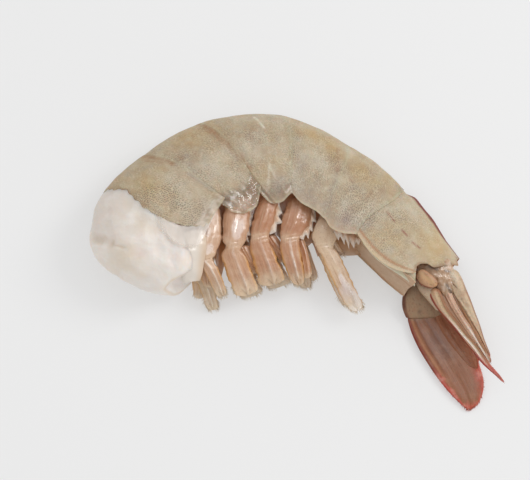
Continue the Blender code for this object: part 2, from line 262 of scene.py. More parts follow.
# %% Wrapping
def select_none():
    """Deselect everything, so an operator acts only on what is picked next."""
    if bpy.context.object and bpy.context.object.mode != "OBJECT":
        bpy.ops.object.mode_set(mode="OBJECT")
    for obj in bpy.context.view_layer.objects:
        obj.select_set(False)


def corners(obj):
    """The piece's corners as rows of x, y, z."""
    flat = np.empty(len(obj.data.vertices) * 3)
    obj.data.vertices.foreach_get("co", flat)
    return flat.reshape(-1, 3)


def put(obj, places):
    """Move the piece's corners to places, given in millimetres."""
    obj.data.vertices.foreach_set("co", (np.asarray(places) * MM).ravel())
    obj.data.update()


def wrapped_grid(name, across, along, place):
    """A grid primitive whose corners go where place(p, q) says, p and q in -1..1."""
    select_none()
    bpy.ops.mesh.primitive_grid_add(x_subdivisions=across, y_subdivisions=along, size=2)
    obj = bpy.context.object
    obj.name = name
    chart = corners(obj)
    put(obj, place(chart[:, 0], chart[:, 1]))
    return obj, chart[:, 0], chart[:, 1]


def wrapped_ball(name, around, rings, place):
    """A sphere primitive put where place(q, angle) says: q runs 0..1 from pole to pole."""
    select_none()
    bpy.ops.mesh.primitive_uv_sphere_add(segments=around, ring_count=rings, radius=1)
    obj = bpy.context.object
    obj.name = name
    ball = corners(obj)
    q = 0.5 + np.arcsin(np.clip(ball[:, 2], -1, 1)) / math.pi
    angle = np.arctan2(ball[:, 1], ball[:, 0])
    put(obj, place(q, angle))
    face_out(obj)
    return obj, q, angle


def face_out(obj):
    """Turn all faces outward."""
    shape = bmesh.new()
    shape.from_mesh(obj.data)
    bmesh.ops.recalc_face_normals(shape, faces=shape.faces)
    shape.to_mesh(obj.data)
    shape.free()


print("a grid and a ball can be wrapped")

# %% Painting corners
def paint(obj, **values):
    """Keep named numbers per corner, which a material reads by their names."""
    count = len(obj.data.vertices)
    for name, value in values.items():
        layer = obj.data.attributes.new(name, "FLOAT", "POINT")
        layer.data.foreach_set("value", np.broadcast_to(value, count).astype(np.float32))


def paint_tone(obj, tones):
    """Keep one linear colour per corner."""
    rows = np.ones((len(obj.data.vertices), 4), np.float32)
    rows[:, :3] = tones
    layer = obj.data.color_attributes.new("tone", "FLOAT_COLOR", "POINT")
    layer.data.foreach_set("color", rows.ravel())


def waves(places, size, seed, octaves=3):
    """Soft unevenness in about -1..1 at places in mm, with hills about size mm apart."""
    shift = Vector((seed * 17.3, seed * -9.1, seed * 5.7))
    return np.array([noise.fractal(Vector(p) / size + shift, 1.0, 2.0, octaves)
                     for p in places])


print("height of the waves at the origin", waves([(0, 0, 0)], 5.0, 1).round(3))

# %% Joining and finishing the pieces
SHARP_FROM = math.radians(60)     # a thin rim stays crisp, all other faces are smooth


def apply_all(obj):
    """Apply the piece's modifiers in their order."""
    select_none()
    obj.select_set(True)
    bpy.context.view_layer.objects.active = obj
    for modifier in list(obj.modifiers):
        bpy.ops.object.modifier_apply(modifier=modifier.name)


def join(name, parts):
    """Make several pieces one mesh."""
    select_none()
    for part in parts:
        part.select_set(True)
    bpy.context.view_layer.objects.active = parts[0]
    if len(parts) > 1:
        bpy.ops.object.join()
    parts[0].name = name
    parts[0].data.name = name
    return parts[0]


def hand_in(obj, look, slot, *nodes):
    """Give the piece its material, smooth shading and crisp rims, and hang it on the root body in
    place of the CAD nodes, which are hidden.
    """
    obj.data.name = obj.name
    obj.data.materials.clear()
    obj.data.materials.append(look)
    obj.data.shade_smooth()
    obj.data.set_sharp_from_angle(angle=SHARP_FROM)
    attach(obj, "root")
    if nodes:
        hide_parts(*nodes)
    return obj


print("helpers ready")

# %% [markdown]
# ## Colours and material nodes
# Colours are read from the photograph as sRGB hex values and made linear by one function,
# because the renderer adds up light and not hex numbers. One small function adds a node
# with its settings and links. Two steps come back in every look here: laying thin colours
# over a ground, and letting one painted number steer some of the shader's sockets.

# %% Colour and node helpers
def linear(colour):
    """An sRGB hex colour as linear red, green, blue."""
    channels = [int(colour[i:i + 2], 16) / 255 for i in (1, 3, 5)]
    return np.array([c / 12.92 if c <= 0.04045 else ((c + 0.055) / 1.055) ** 2.4
                     for c in channels])


def add(tree, kind, inputs=(), output=0, **settings):
    """Add a node and give back one output. An input is a value or the output that feeds it."""
    node = tree.nodes.new("ShaderNode" + kind)
    for key, value in settings.items():
        setattr(node, key, value)
    for key, value in inputs.items() if isinstance(inputs, dict) else enumerate(inputs):
        if isinstance(value, bpy.types.NodeSocket):
            tree.links.new(value, node.inputs[key])
        else:
            node.inputs[key].default_value = value
    return node.outputs[output]


def new_material(name, **shader_values):
    """A material with its Principled shader's uniform numbers set on the sockets."""
    material = bpy.data.materials.new(name)
    material.use_nodes = True
    shader = material.node_tree.nodes["Principled BSDF"]
    for key, value in shader_values.items():
        shader.inputs[key.replace("_", " ")].default_value = value
    return material, material.node_tree, shader


print("white card in linear light", linear("#EBEBEB").round(3))

# %% Steps that the looks share
def noise_of(size, detail=3.0, roughness=0.5):
    """Numbers for a noise whose clouds are about size mm across, in metres."""
    return {"Scale": 1 / (size * MM), "Detail": detail, "Roughness": roughness}


def lay_colours(tree, base, layers):
    """Lay colours over a base: driver, its low and high, least and most share, hold, colour."""
    for driver, low, high, least, most, hold, colour in layers:
        share = add(tree, "MapRange", (driver, low, high, least, most),
                    interpolation_type="SMOOTHSTEP")
        if hold is not None:
            share = add(tree, "Math", (share, hold), operation="MULTIPLY")
        base = add(tree, "Mix", {0: share, 6: base, 7: (*linear(colour), 1.0)}, 2,
                   data_type="RGBA")
    return base


def steer(tree, shader, driver, rows):
    """Let one number steer sockets: each row is a socket, low, high and the values there."""
    for socket, *numbers in rows:
        value = add(tree, "MapRange", (driver, *numbers), interpolation_type="SMOOTHSTEP")
        tree.links.new(value, shader.inputs[socket])


def finish_look(tree, shader, base, height, share, fine, depth):
    """Join the colour, and a bump depth mm deep from a height and a share of a finer one."""
    tree.links.new(base, shader.inputs["Base Color"])
    part = add(tree, "Math", (fine, share), operation="MULTIPLY")
    height = add(tree, "Math", (height, part), operation="ADD")
    bump = add(tree, "Bump", {"Height": height, "Distance": depth * MM, "Strength": 1.0})
    tree.links.new(bump, shader.inputs["Normal"])


print("a noise with clouds of 1 mm:", noise_of(1.0))

# %% [markdown]
# ## The shell's material
# The shell is wet chitin: thin, horny and slightly see-through, so its colour is really the
# flesh below it, seen through fine grey-green pigment dots about half a millimetre apart.
# The dots are the middles of a cell pattern. The broad colour is painted per corner, and the
# thin hem lobes let a part of what lies behind them through.

# %% Wet shell
DOT_SPACING = 0.50            # mm between pigment dots, a little coarser than life
NET_SPACING = 0.42            # mm between the finer marks between them
DOT_DARK, NET_DARK, NET_PALE = "#5E4F3E", "#86735A", "#D0C3A8"


# Thin horny chitin, grown and wet: it gives a soft sheen, and only the thin lobes glint.
def make_shell_look():
    """Wet chitin: clouds, a net of fine marks and pigment dots over the painted tone."""
    material, tree, shader = new_material(
        "wet_chitin_shell", Roughness=0.55, IOR=1.5, Coat_Weight=0.06, Coat_Roughness=0.25,
        Subsurface_Weight=0.2, Subsurface_Scale=0.0015, Specular_IOR_Level=0.35)
    where = add(tree, "TexCoord", (), "Object")
    chart = add(tree, "Attribute", (), "Vector", attribute_name="flow")
    strength = add(tree, "Attribute", (), "Fac", attribute_name="dots")
    thin = add(tree, "Attribute", (), "Fac", attribute_name="thin")
    mottle = add(tree, "TexNoise", {"Vector": where, **noise_of(2.2, 4.0, 0.6)})
    broad = add(tree, "TexNoise", {"Vector": where, **noise_of(3.0, 3.0, 0.6)})
    net, cells = (
        add(tree, "TexVoronoi", {"Vector": chart, "Scale": 1 / spacing, "Randomness": loose},
            voronoi_dimensions="2D") for spacing, loose in ((NET_SPACING, 0.9),
                                                            (DOT_SPACING, 0.65)))
    fade, anywhere, some, full = (
        add(tree, "MapRange", numbers, interpolation_type="SMOOTHSTEP") for numbers in (
            (broad, 0.35, 0.65, 0.25, 1.0), (strength, 0.0, 0.12, 0.0, 1.0),
            (strength, 0.0, 0.3, 0.0, 1.0), (strength, 0.25, 1.0, 0.0, 1.0)))
    marked, veined = (add(tree, "Math", (fade, hold), operation="MULTIPLY")
                      for hold in (some, anywhere))
    base = lay_colours(tree, add(tree, "Attribute", (), "Color", attribute_name="tone"), (
        (mottle, 0.4, 0.7, 0.0, 0.3, anywhere, NET_PALE),
        (net, 0.1, 0.42, 0.55, 0.0, marked, NET_DARK),
        (net, 0.5, 0.75, 0.0, 0.4, veined, NET_PALE),
        (cells, 0.16, 0.34, 0.9, 0.0, full, DOT_DARK)))
    steer(tree, shader, thin, (
        ("Alpha", 0.0, 1.0, 1.0, 0.25), ("Roughness", 0.15, 0.6, 0.55, 0.4),
        ("Coat Weight", 0.3, 0.9, 0.06, 1.0), ("Coat Roughness", 0.1, 0.5, 0.25, 0.04)))
    clouds = add(tree, "Math", (mottle, 0.5), operation="MULTIPLY")
    finish_look(tree, shader, base, clouds, 0.15, cells, 0.10)
    return material


SHELL_LOOK = make_shell_look()
print("dots every", DOT_SPACING, "mm")

# %% [markdown]
# ## Stains and pale patches on the shell
# Each patch is named by its place on the chart: station, share of the half width, reach
# along and across, colour and strength. Both sides carry them, because a shrimp's colours
# are much the same left and right.

# %% Where the shell changes colour
SHELL_TONE = "#B29E80"
BROWN, YELLOW, GREY, PALE, RUST = "#9A7350", "#BE9E68", "#9C9088", "#CFC5B2", "#8A4430"
PATCHES = (
    # brown tints where plates overlap
    (1.98, 0.20, 0.07, 0.16, BROWN, 0.55), (2.19, 0.51, 0.06, 0.05, BROWN, 0.75),
    (3.0, 0.42, 0.06, 0.16, BROWN, 0.55), (3.05, 0.54, 0.04, 0.04, BROWN, 0.5),
    (1.90, 0.64, 0.12, 0.06, BROWN, 0.35), (1.03, 0.48, 0.07, 0.05, BROWN, 0.8),
    (0.95, 0.58, 0.05, 0.04, BROWN, 0.8), (0.83, 0.70, 0.05, 0.04, BROWN, 0.8),
    (0.76, 0.80, 0.04, 0.03, BROWN, 0.75), (1.15, 0.36, 0.06, 0.12, BROWN, 0.45),
    (1.45, 0.93, 0.12, 0.05, BROWN, 0.4), (5.76, 0.65, 0.05, 0.05, BROWN, 0.75),
    (5.88, 0.60, 0.05, 0.12, BROWN, 0.35), (4.84, 0.56, 0.10, 0.08, BROWN, 0.35),
    (5.3, 0.55, 0.25, 0.10, BROWN, 0.22),
    # yellow over the organs and the tail
    (4.45, 0.38, 0.22, 0.09, YELLOW, 0.55), (4.78, 0.40, 0.16, 0.10, YELLOW, 0.6),
    (5.4, 0.50, 0.15, 0.10, YELLOW, 0.35), (6.84, 0.42, 0.2, 0.28, YELLOW, 0.7),
    (1.35, 0.55, 0.3, 0.2, YELLOW, 0.2), (2.6, 0.25, 0.3, 0.2, YELLOW, 0.25),
    # violet-grey where the flesh below is dark
    (3.55, 0.88, 0.22, 0.08, GREY, 0.6), (4.0, 0.93, 0.2, 0.08, GREY, 0.4),
    (5.0, 0.95, 0.2, 0.10, GREY, 0.45), (5.72, 0.92, 0.3, 0.12, "#8E8082", 0.6),
    (3.4, 0.93, 0.4, 0.06, "#8E8484", 0.5), (4.4, 0.95, 0.4, 0.05, "#8E8484", 0.4),
    (2.15, 0.62, 0.12, 0.12, GREY, 0.3), (6.1, 0.90, 0.12, 0.12, GREY, 0.45),
    (3.45, 0.55, 0.2, 0.16, GREY, 0.25), (4.5, 0.88, 0.3, 0.12, "#8A7A6C", 0.45),
    (5.4, 0.90, 0.3, 0.12, "#8A7868", 0.45),
    # pale patches
    (1.70, 0.58, 0.16, 0.10, PALE, 0.35), (2.35, 0.55, 0.2, 0.14, GREY, 0.25),
    (2.65, 0.74, 0.16, 0.08, PALE, 0.15), (3.52, 0.80, 0.05, 0.06, PALE, 0.6),
    (3.95, 0.6, 0.10, 0.3, PALE, 0.25), (4.22, 0.72, 0.16, 0.12, GREY, 0.35),
    (5.05, 0.33, 0.12, 0.08, PALE, 0.7), (5.93, 0.80, 0.08, 0.14, PALE, 0.55),
    (5.45, 0.83, 0.14, 0.07, PALE, 0.45), (6.5, 0.42, 0.4, 0.12, PALE, 0.3),
    (1.2, 0.97, 0.3, 0.06, PALE, 0.6), (1.65, 0.95, 0.2, 0.05, PALE, 0.5),
)
# thin lines: from (station, share) to (station, share), half width in mm, colour, strength
LINES = (
    (6.17, 0.68, 6.33, 0.69, 0.2, RUST, 1.0), (6.46, 0.69, 6.56, 0.69, 0.22, RUST, 1.0),
    (6.66, 0.69, 6.77, 0.67, 0.2, RUST, 0.95), (5.25, 0.62, 5.36, 0.65, 0.15, RUST, 0.5),
    (2.97, 0.16, 2.99, 0.36, 0.8, BROWN, 0.75), (2.99, 0.36, 3.04, 0.56, 0.8, BROWN, 0.85),
    (3.04, 0.56, 3.05, 0.80, 0.6, BROWN, 0.7), (1.98, 0.30, 2.02, 0.50, 0.6, BROWN, 0.85),
    (2.0, 0.66, 1.98, 0.86, 0.5, GREY, 0.5), (4.9, 0.40, 5.0, 0.62, 0.7, BROWN, 0.6),
    (4.99, 0.62, 5.0, 0.90, 0.7, "#8E7C70", 0.45), (3.98, 0.3, 4.04, 0.95, 0.9, PALE, 0.4),
    (3.64, 0.28, 3.70, 0.44, 0.28, "#E3DCCB", 0.8), (3.02, 0.99, 3.52, 0.78, 0.3, PALE, 0.6),
    (1.86, 0.30, 1.95, 0.44, 0.3, BROWN, 0.5), (5.42, 0.40, 5.6, 0.46, 0.2, RUST, 0.3),
)


def mixed(ground, *coats):
    """Thin coats over a hex colour or rows of colours: each coat is a hex colour and a share."""
    tones = linear(ground) if isinstance(ground, str) else ground
    for colour, share in coats:
        share = np.clip(share, 0, 1)[:, None]
        tones = tones * (1 - share) + linear(colour) * share
    return tones


def distance_to_line(points, start, end):
    """How far points lie from a straight stretch."""
    run = end - start
    along = np.clip(((points - start) @ run) / (run @ run), 0, 1)
    return np.linalg.norm(points - start - along[:, None] * run, axis=1)


print(len(PATCHES), "patches and", len(LINES), "lines")

# %% [markdown]
# ## The six plates
# On the real shrimp each plate is one horny hoop: over the back it is round, its lobes hang
# down at both sides, and its rear edge lies over the front of the next. Here each is an open
# grid on the chart with soft swellings, a raised lip at the rear edge and a thin clear hem,
# thickened by a Solidify modifier that is applied. Painting follows the same chart: stains
# and lines first, then the rims and the hem, on plate 1 a pale band painted along the front
# edge to lighten the shade line there, and on plate 2 a painted white highlight on the lobe.

# %% Numbers of the plates
ACROSS, ALONG = 190, 70       # faces of a plate's grid
PLATE_WALL, EDGE_WALL = 0.30, 0.05      # mm, in the middle and at the rear edge and the hems
HIDDEN_DEPTH = 0.62           # how deep a plate starts below the one in front, mm
FRONT_DIP = 0.10              # how deep the first plate's front edge lies in the flesh, mm
EDGE_RUN = 0.18               # stations behind a joint in which a plate rises again
PLATE_RUN = 13                # about a plate's length from front to rear, mm
FLANK_RUN = 1.1               # outline from back to hem against the height
LINE_HANG = 2.5               # hang of the hem to which the shares of LINES are measured, mm
# each plate: step below the one in front and crinkle of its lobes in mm, the share where they
# turn clear, how clear they get, and strength of the dots
PLATE_ROWS = ((0.0, 0.22, 0.92, 0.6, 1.0), (0.06, 0.40, 0.86, 0.9, 0.62),
              (0.07, 0.24, 0.90, 0.6, 0.58), (0.06, 0.14, 0.94, 0.4, 0.60),
              (0.07, 0.12, 0.92, 0.4, 0.60), (0.16, 0.03, 0.985, 0.3, 0.70))


def line_point(s, t, side):
    """The place of a chart point on the outer face, in mm."""
    s, t = np.array([s]), np.array([t])
    u, v = side_path(s, t, 0.0, station(s)[:, HEIGHT] / 2 + LINE_HANG)
    return body_points(s, side * u, v)[0]


def to_edges(s, t, share):
    """About how many mm corners of a plate lie from its front, its rear edge and its hem."""
    return (share * PLATE_RUN, (1 - share) * PLATE_RUN,
            (1 - t) * station(s)[:, HEIGHT] * FLANK_RUN)


print("plates begin", HIDDEN_DEPTH, "mm below the one in front")

# %% Colours of a plate
def painted_lobe_highlight(share, t, places):
    """Where a white highlight is painted on the creased clear lobe of plate 2: 0 to 1."""
    highlight_area = smooth(1.0, 0.6, np.hypot((share - 0.42) / 0.42, (t - 0.925) / 0.05))
    return highlight_area * np.clip(0.45 + 1.3 * waves(places, 1.3, 77, 2), 0, 1)


def shell_tones(number, s, t, share, places):
    """Broad colours over one plate, broken up by a fine unevenness."""
    wide, fine = waves(places, 7.0, 1), waves(places, 2.2, 40)
    front, rear, hem = to_edges(s, t, share)
    tones = mixed(SHELL_TONE, (PALE, 0.55 * np.clip(wide, 0, 1)),
                  (YELLOW, 0.6 * np.clip(-wide, 0, 1)), (GREY, 0.45 * np.clip(fine, 0, 1)),
                  (BROWN, 0.4 * np.clip(-fine, 0, 1)))
    for s0, t0, reach_s, reach_t, colour, strength in PATCHES:
        spot = hill(s, s0, reach_s) * hill(t, t0, reach_t)
        tones = mixed(tones, (colour, strength * spot * (1 + 0.35 * fine)))
    for s0, t0, s1, t1, half, colour, strength in LINES:
        for side in (1, -1):
            far = distance_to_line(places, line_point(s0, t0, side), line_point(s1, t1, side))
            tones = mixed(tones, (colour, strength * hill(far, 0.0, half * (1 + 0.4 * fine))))
    if number == 6:
        ridge = smooth(0.085, 0.045, t) * smooth(5.98, 6.1, s)
        return mixed(tones, ("#A8744A", 0.95 * hill(hem, 0.85, 0.2)),
                     ("#C8B294", 0.7 * smooth(0.75, 0.35, hem)), ("#701C0A", 0.97 * ridge),
                     ("#8A5A3C", 0.6 * hill(rear, 0.15, 0.25)))
    clear_from = PLATE_ROWS[number - 1][2]
    lobe = smooth(clear_from - 0.04, clear_from + 0.06, t)
    tones = mixed(tones, ("#D2BCA2", 0.6 * lobe), ("#C8B496", 0.55 * hill(hem, 0.05, 0.15)),
                  ("#C4AE90", 0.5 * hill(rear, 0.0, 0.3)), (BROWN, 0.15 * hill(rear, 0.9, 0.6)))
    # plate 2: a white highlight painted on its creased clear lobe
    if number == 2:
        tones = mixed(tones, ("#FBF6F0", 0.9 * painted_lobe_highlight(share, t, places)))
    if number == 1:
        bits = np.clip(0.5 + 1.2 * fine, 0, 1) * smooth(0.8, 0.55, t)
        # brown bits along the front edge, and a pale band painted there to lighten the shade line
        # where the plate meets the flesh
        tones = mixed(tones, ("#8A5632", 0.85 * hill(front, 0.1, 0.3) * bits),
                      (PALE, 0.4 * hill(front, 0.0, 0.5) * smooth(0.45, 0.6, t)))
    return tones


def dot_strength(number, s, t, share, places):
    """How strong the pigment dots are: weak at the lobes, along the back and at the cut."""
    clear_from, strength = PLATE_ROWS[number - 1][2], PLATE_ROWS[number - 1][4]
    dots = strength * (0.8 + 0.6 * waves(places, 5.0, 60, 2))
    dots *= smooth(1.0, clear_from - 0.02, t) * (0.45 + 0.55 * smooth(0.1, 0.5, t))
    if number == 1:
        dots *= 0.35 + 0.65 * smooth(0.45, 0.62, t) * smooth(0.9, 0.4, share)
    if number == 6:
        dots *= smooth(6.95, 6.3, s) * 0.8 + 0.2
        dots *= smooth(0.04, 0.09, t)
    return np.clip(dots, 0, 1)


def clearness(number, s, t, share, places):
    """How thin and clear a plate is: at its lobes, but for the line of the hem."""
    clear_from, clear_top = PLATE_ROWS[number - 1][2:4]
    thin = clear_top * smooth(clear_from - 0.05, clear_from + 0.05, t)
    thin *= 1 - 0.7 * hill(to_edges(s, t, share)[2], 0.1, 0.2)
    # the painted highlight is less clear, so that its white shows
    if number == 2:
        thin *= 1 - 0.6 * painted_lobe_highlight(share, t, places)
    if number == 5:
        thin = np.maximum(thin, 0.75 * smooth(0.90, 0.98, share) * smooth(0.5, 0.2, t))
    return thin


print(len(PLATE_ROWS), "plates to colour")

# %% Flow and wall of a sheet
def chart_in_mm(across, along, p, q, places):
    """Each corner's run along both ways of a grid, so that a flat pattern isn't stretched."""
    order = np.lexsort((p, q))
    grid = places[order].reshape(along + 1, across + 1, 3)
    right, on = np.zeros(grid.shape[:2]), np.zeros(grid.shape[:2])
    right[:, 1:] = np.cumsum(np.linalg.norm(np.diff(grid, axis=1), axis=2), axis=1)
    on[1:] = np.cumsum(np.linalg.norm(np.diff(grid, axis=0), axis=2), axis=0)
    right -= right[:, across // 2][:, None]
    chart = np.zeros((len(places), 3))
    chart[order] = np.stack([on.ravel(), right.ravel(), np.zeros(on.size)], -1)
    return chart


def paint_flow(obj, rows):
    """Keep three numbers per corner, for a pattern that follows the surface."""
    layer = obj.data.attributes.new("flow", "FLOAT_VECTOR", "POINT")
    layer.data.foreach_set("vector", rows.astype(np.float32).ravel())


def add_wall(obj, wall, edge_wall, fullness, offset=0.0):
    """Give a sheet its thickness: edge_wall where fullness is 0, wall where it is 1."""
    full = obj.vertex_groups.new(name="fullness")
    for step in range(11):
        rows = np.nonzero(np.round(np.clip(fullness, 0, 1) * 10) == step)[0]
        full.add(rows.tolist(), step / 10, "REPLACE")
    solid = obj.modifiers.new("wall", "SOLIDIFY")
    solid.thickness = wall * MM
    solid.offset = offset
    solid.vertex_group = "fullness"
    solid.thickness_vertex_group = edge_wall / wall
    apply_all(obj)
    obj.vertex_groups.clear()
    face_out(obj)


print("walls from", EDGE_WALL, "to", PLATE_WALL, "mm")

# %% Make the plates
def make_plate(number):
    """One shell plate with its thin edges, swellings, lobes and colours."""
    kept = {}
    step, crinkle, clear_from = PLATE_ROWS[number - 1][:3]

    def place(p, q):
        t, share = np.abs(p), (q + 1) / 2
        upper = np.where(p >= 0, 1.0, LOWER_LOBE)
        front = rear_edge(number, p) - (OVERLAP if number > 1 else 0.0)
        if number == 1:
            front = front + 0.035 * np.sin(t * 61) * np.sin(t * 23 + 1.0)
        s = front + share * (rear_edge(number + 1, p) - front)
        depth = FRONT_DIP * (1 - smooth(0.0, 0.10, share)) if number == 1 else 0.0 * s
        hem_s, hang = hem_line(number, share)
        turn = (np.maximum(t - SIDE_SHARE, 0.0) / (1 - SIDE_SHARE)) ** HEM_TURN * upper
        s = s + (hem_s - s) * turn
        if number > 1:
            joint = rear_edge(number, p)
            joint = joint + (hem_line(number - 1, np.ones(len(p)))[0] - joint) * turn
            depth = (HIDDEN_DEPTH - step) * (1 - smooth(-0.09, 0.0, s - joint))
            depth += step * (1 - smooth(0.0, EDGE_RUN, s - joint))
        drop = station(s)[:, HEIGHT] / 2 + hang * upper
        u, v = side_path(s, t, 0.0, drop)
        flat = body_points(s, np.where(p >= 0, u, -u), v)
        soft = waves(flat, 6.0, 1, 2) * 0.18 + waves(flat, 1.6, 9, 2) * 0.03
        lobe = smooth(clear_from - 0.06, clear_from + 0.08, t)
        soft += crinkle * lobe * waves(flat, 2.1, number + 20, 2)
        if number == 5:
            soft += 0.12 * smooth(0.97, 1.0, share) * smooth(0.55, 0.2, t)
        shown = smooth(0.0, 0.12 if number > 1 else 0.3, share)
        depth = depth - np.clip(soft, -0.3, 0.4) * shown
        u, v = side_path(s, t, depth, drop)
        spot = body_points(s, np.where(p >= 0, u, -u), v)
        spot[:, 2] = np.maximum(spot[:, 2], np.maximum(depth, 0.0))
        kept.update(s=s, t=t, share=share, places=flat)
        return spot

    plate, p, q = wrapped_grid(f"shell_{number}_plate", ACROSS, ALONG, place)
    paint_flow(plate, chart_in_mm(ACROSS, ALONG, p, q, kept["places"]) + (50.0 * number, 0, 0))
    paint_tone(plate, shell_tones(number, **kept))
    paint(plate, dots=dot_strength(number, **kept), thin=clearness(number, **kept))
    front, rear, hem = to_edges(kept["s"], kept["t"], kept["share"])
    fullness = smooth(0.0, 1.4, rear) * smooth(0.0, 1.2, hem)
    if number == 1:
        fullness *= smooth(0.0, 1.0, front)
    add_wall(plate, PLATE_WALL, EDGE_WALL, fullness, -1.0)
    return hand_in(plate, SHELL_LOOK, "shell", f"shell_{number}")


PLATES = [make_plate(number) for number in range(1, 7)]
print("plates made, faces", [len(plate.data.polygons) for plate in PLATES])

# %% [markdown]
# ## The flesh
# Where the head was cut off, the tail muscle swells out of the first plate: off-white,
# slightly pink and beige, wet, with a slit and soft folds. Behind that it fills the shell,
# and its brown belly shows between the legs. It is one drawn-out ball on the chart, with
# most of its rings in the bare part, and the folds are pressed in along named lines.

# %% Muscle colour and its material
FLESH_TONE, FLESH_PINK, FLESH_BEIGE, BELLY_BROWN = "#E7E0D9", "#E9D7D0", "#DDCEB8", "#C08A60"


# Raw muscle, cut and wet: it lets light in, so its shadows stay pale, and it shines a little.
def make_flesh_look():
    """Pale clouds over the painted tone, with the muscle's fibres as a soft relief."""
    material, tree, shader = new_material(
        "raw_shrimp_muscle", Roughness=0.55, IOR=1.4, Coat_Weight=0.10, Coat_Roughness=0.2,
        Subsurface_Weight=0.7, Subsurface_Scale=0.004, Specular_IOR_Level=0.35,
        Subsurface_Radius=(1.0, 0.8, 0.65))
    where = add(tree, "TexCoord", (), "Object")
    cloud = add(tree, "TexNoise", {"Vector": where, **noise_of(3.5, 3.0, 0.55)})
    fibre = add(tree, "TexNoise", {"Vector": where, **noise_of(0.7, 3.0, 0.6)})
    base = lay_colours(tree, add(tree, "Attribute", (), "Color", attribute_name="tone"),
                       ((cloud, 0.45, 0.75, 0.0, 0.35, None, "#F0ECE8"),))
    finish_look(tree, shader, base, cloud, 0.4, fibre, 0.25)
    return material


FLESH_LOOK = make_flesh_look()
print("muscle tone in linear light", linear(FLESH_TONE).round(2))

# %% Numbers of the flesh
FLESH_DEPTH = WALL + GAP      # how deep the flesh lies below the plates' outer face, mm
BELLY, TAIL_BELLY = 0.46, 0.49          # belly below the mid line against the height
TURN_LEVEL, TURN_SHARE = 0.30, 0.60     # height and share of half a turn where it begins
NOSE_SHARE, NOSE_REACH = 0.20, 9.4      # share of the length and reach of the bare end, mm
NOSE_DRIFT, NOSE_LUMP = 1.4, 0.5        # its lean to the tail in mm, and its unevenness
NOSE_HEADING = math.radians(91.0)
TAIL_STOP = 7.02              # the station where the flesh ends in the tail
# folds pressed into the cut end: places in mm from end to end, half width, depth
FOLDS = (
    ((-46.8, 2.6, 11.6), (-45.0, 1.8, 13.2), (-42.6, 0.5, 14.6), 1.9, 0.75),
    ((-44.2, 1.6, 13.8), (-41.6, -0.2, 14.9), (-39.4, -1.1, 15.4), 0.75, 0.55),
    ((-40.6, -5.0, 12.2), (-36.0, -6.3, 13.2), (-31.4, -6.4, 14.4), 0.8, 0.32),
    ((-35.1, -7.2, 12.7), (-33.2, -8.4, 11.4), (-31.6, -9.0, 10.2), 0.8, 0.35),
    ((-31.7, -8.7, 11.6), (-31.3, -9.4, 9.6), (-31.2, -9.6, 7.6), 0.8, 0.25),
    ((-38.0, 8.5, 14.6), (-34.5, 5.6, 15.6), (-32.4, 2.6, 15.8), 1.6, 0.3),
    ((-27.5, -8.6, 12.4), (-25.5, -6.0, 13.6), (-25.4, -2.0, 14.6), 1.0, 0.4),
    ((-42.5, -2.0, 13.6), (-38.0, -2.8, 14.6), (-34.0, -3.0, 15.4), 1.3, 0.3),
    ((-20.5, -9.0, 2.5), (-23.5, -10.0, 6.0), (-25.0, -9.8, 9.5), 3.6, 3.6),
)
print(len(FOLDS), "folds in the cut end")

# %% The flesh's section
def flesh_section(s, angle, depth):
    """Section points of the flesh: the plates' outline on top, a round belly below."""
    height = station(s)[:, HEIGHT]
    belly = BELLY + (TAIL_BELLY - BELLY) * smooth(5.4, 6.2, s)
    share = np.abs(angle) / math.pi
    drop = TURN_LEVEL * height
    u, v = side_path(s, np.minimum(share / TURN_SHARE, 1.0), depth, drop)
    u_turn, v_turn = side_path(s, np.ones_like(s), depth, drop)
    turn = np.clip((share - TURN_SHARE) / (1 - TURN_SHARE), 0, 1) * math.pi / 2
    below = share > TURN_SHARE
    u = np.where(below, u_turn * np.cos(turn), u)
    v = np.where(below, v_turn - (belly * height + v_turn) * np.sin(turn), v)
    return np.where(angle >= 0, u, -u), v


def flesh_places(q, angle):
    """Where the flesh's surface is, and the station and middle it belongs to."""
    turn = np.clip(q / NOSE_SHARE, 0, 1) * math.pi / 2
    nose = q < NOSE_SHARE
    s = np.where(nose, 0.0, (q - NOSE_SHARE) / (1 - NOSE_SHARE) * TAIL_STOP)
    end = (1 - smooth(TAIL_STOP - 0.25, TAIL_STOP, s)) ** 0.5
    scale = np.where(nose, np.sin(turn) ** 0.8, end)
    reach = np.where(nose, NOSE_REACH * np.cos(turn), 0.0)
    share = np.minimum(np.abs(angle) / math.pi / TURN_SHARE, 1.0)
    past = s - rear_edge(1, share)
    depth = -0.25 + 0.35 * smooth(-0.5, 0.0, past)
    depth += (FLESH_DEPTH - 0.1) * smooth(-0.02, 0.25, past)
    for joint in range(2, 7):
        depth = depth + FLESH_DEPTH * (1 - smooth(0.24, 0.42, np.abs(s - joint - 0.02)))
    u, v = flesh_section(s, angle, depth)
    ahead = s - reach / NOSE_REACH
    bare = 1 - smooth(0.2, 1.0, ahead)
    lump = np.sin(2 * angle + 1.3) + 0.7 * np.sin(3 * angle - 2.2 * ahead + 0.4)
    grow = scale * (1 + NOSE_LUMP * bare * lump / 12)
    shift = np.zeros((len(s), 3))
    shift[:, 0] = NOSE_DRIFT * (reach / NOSE_REACH) ** 2 - reach * math.cos(NOSE_HEADING)
    shift[:, 1] = -reach * math.sin(NOSE_HEADING)
    middle = body_points(s, 0 * u, 0 * v) + shift * 0.6
    spot = body_points(s, u * grow, v * grow) + shift
    spot[:, 2] = np.maximum(spot[:, 2], np.maximum(depth, 0.0))
    return spot, s, middle, bare


def distance_to_fold(places, fold):
    """How far places lie from a fold of two straight stretches."""
    a, b, c = (np.array(point) for point in fold[:3])
    return np.minimum(distance_to_line(places, a, b), distance_to_line(places, b, c))


print("the flesh ends at station", TAIL_STOP)

# %% Make the flesh
FLESH_GRID = (176, 230)       # faces around and along
BARE_RINGS, BARE_END = 0.55, 0.36       # shares of the rings and of the length at the cut end


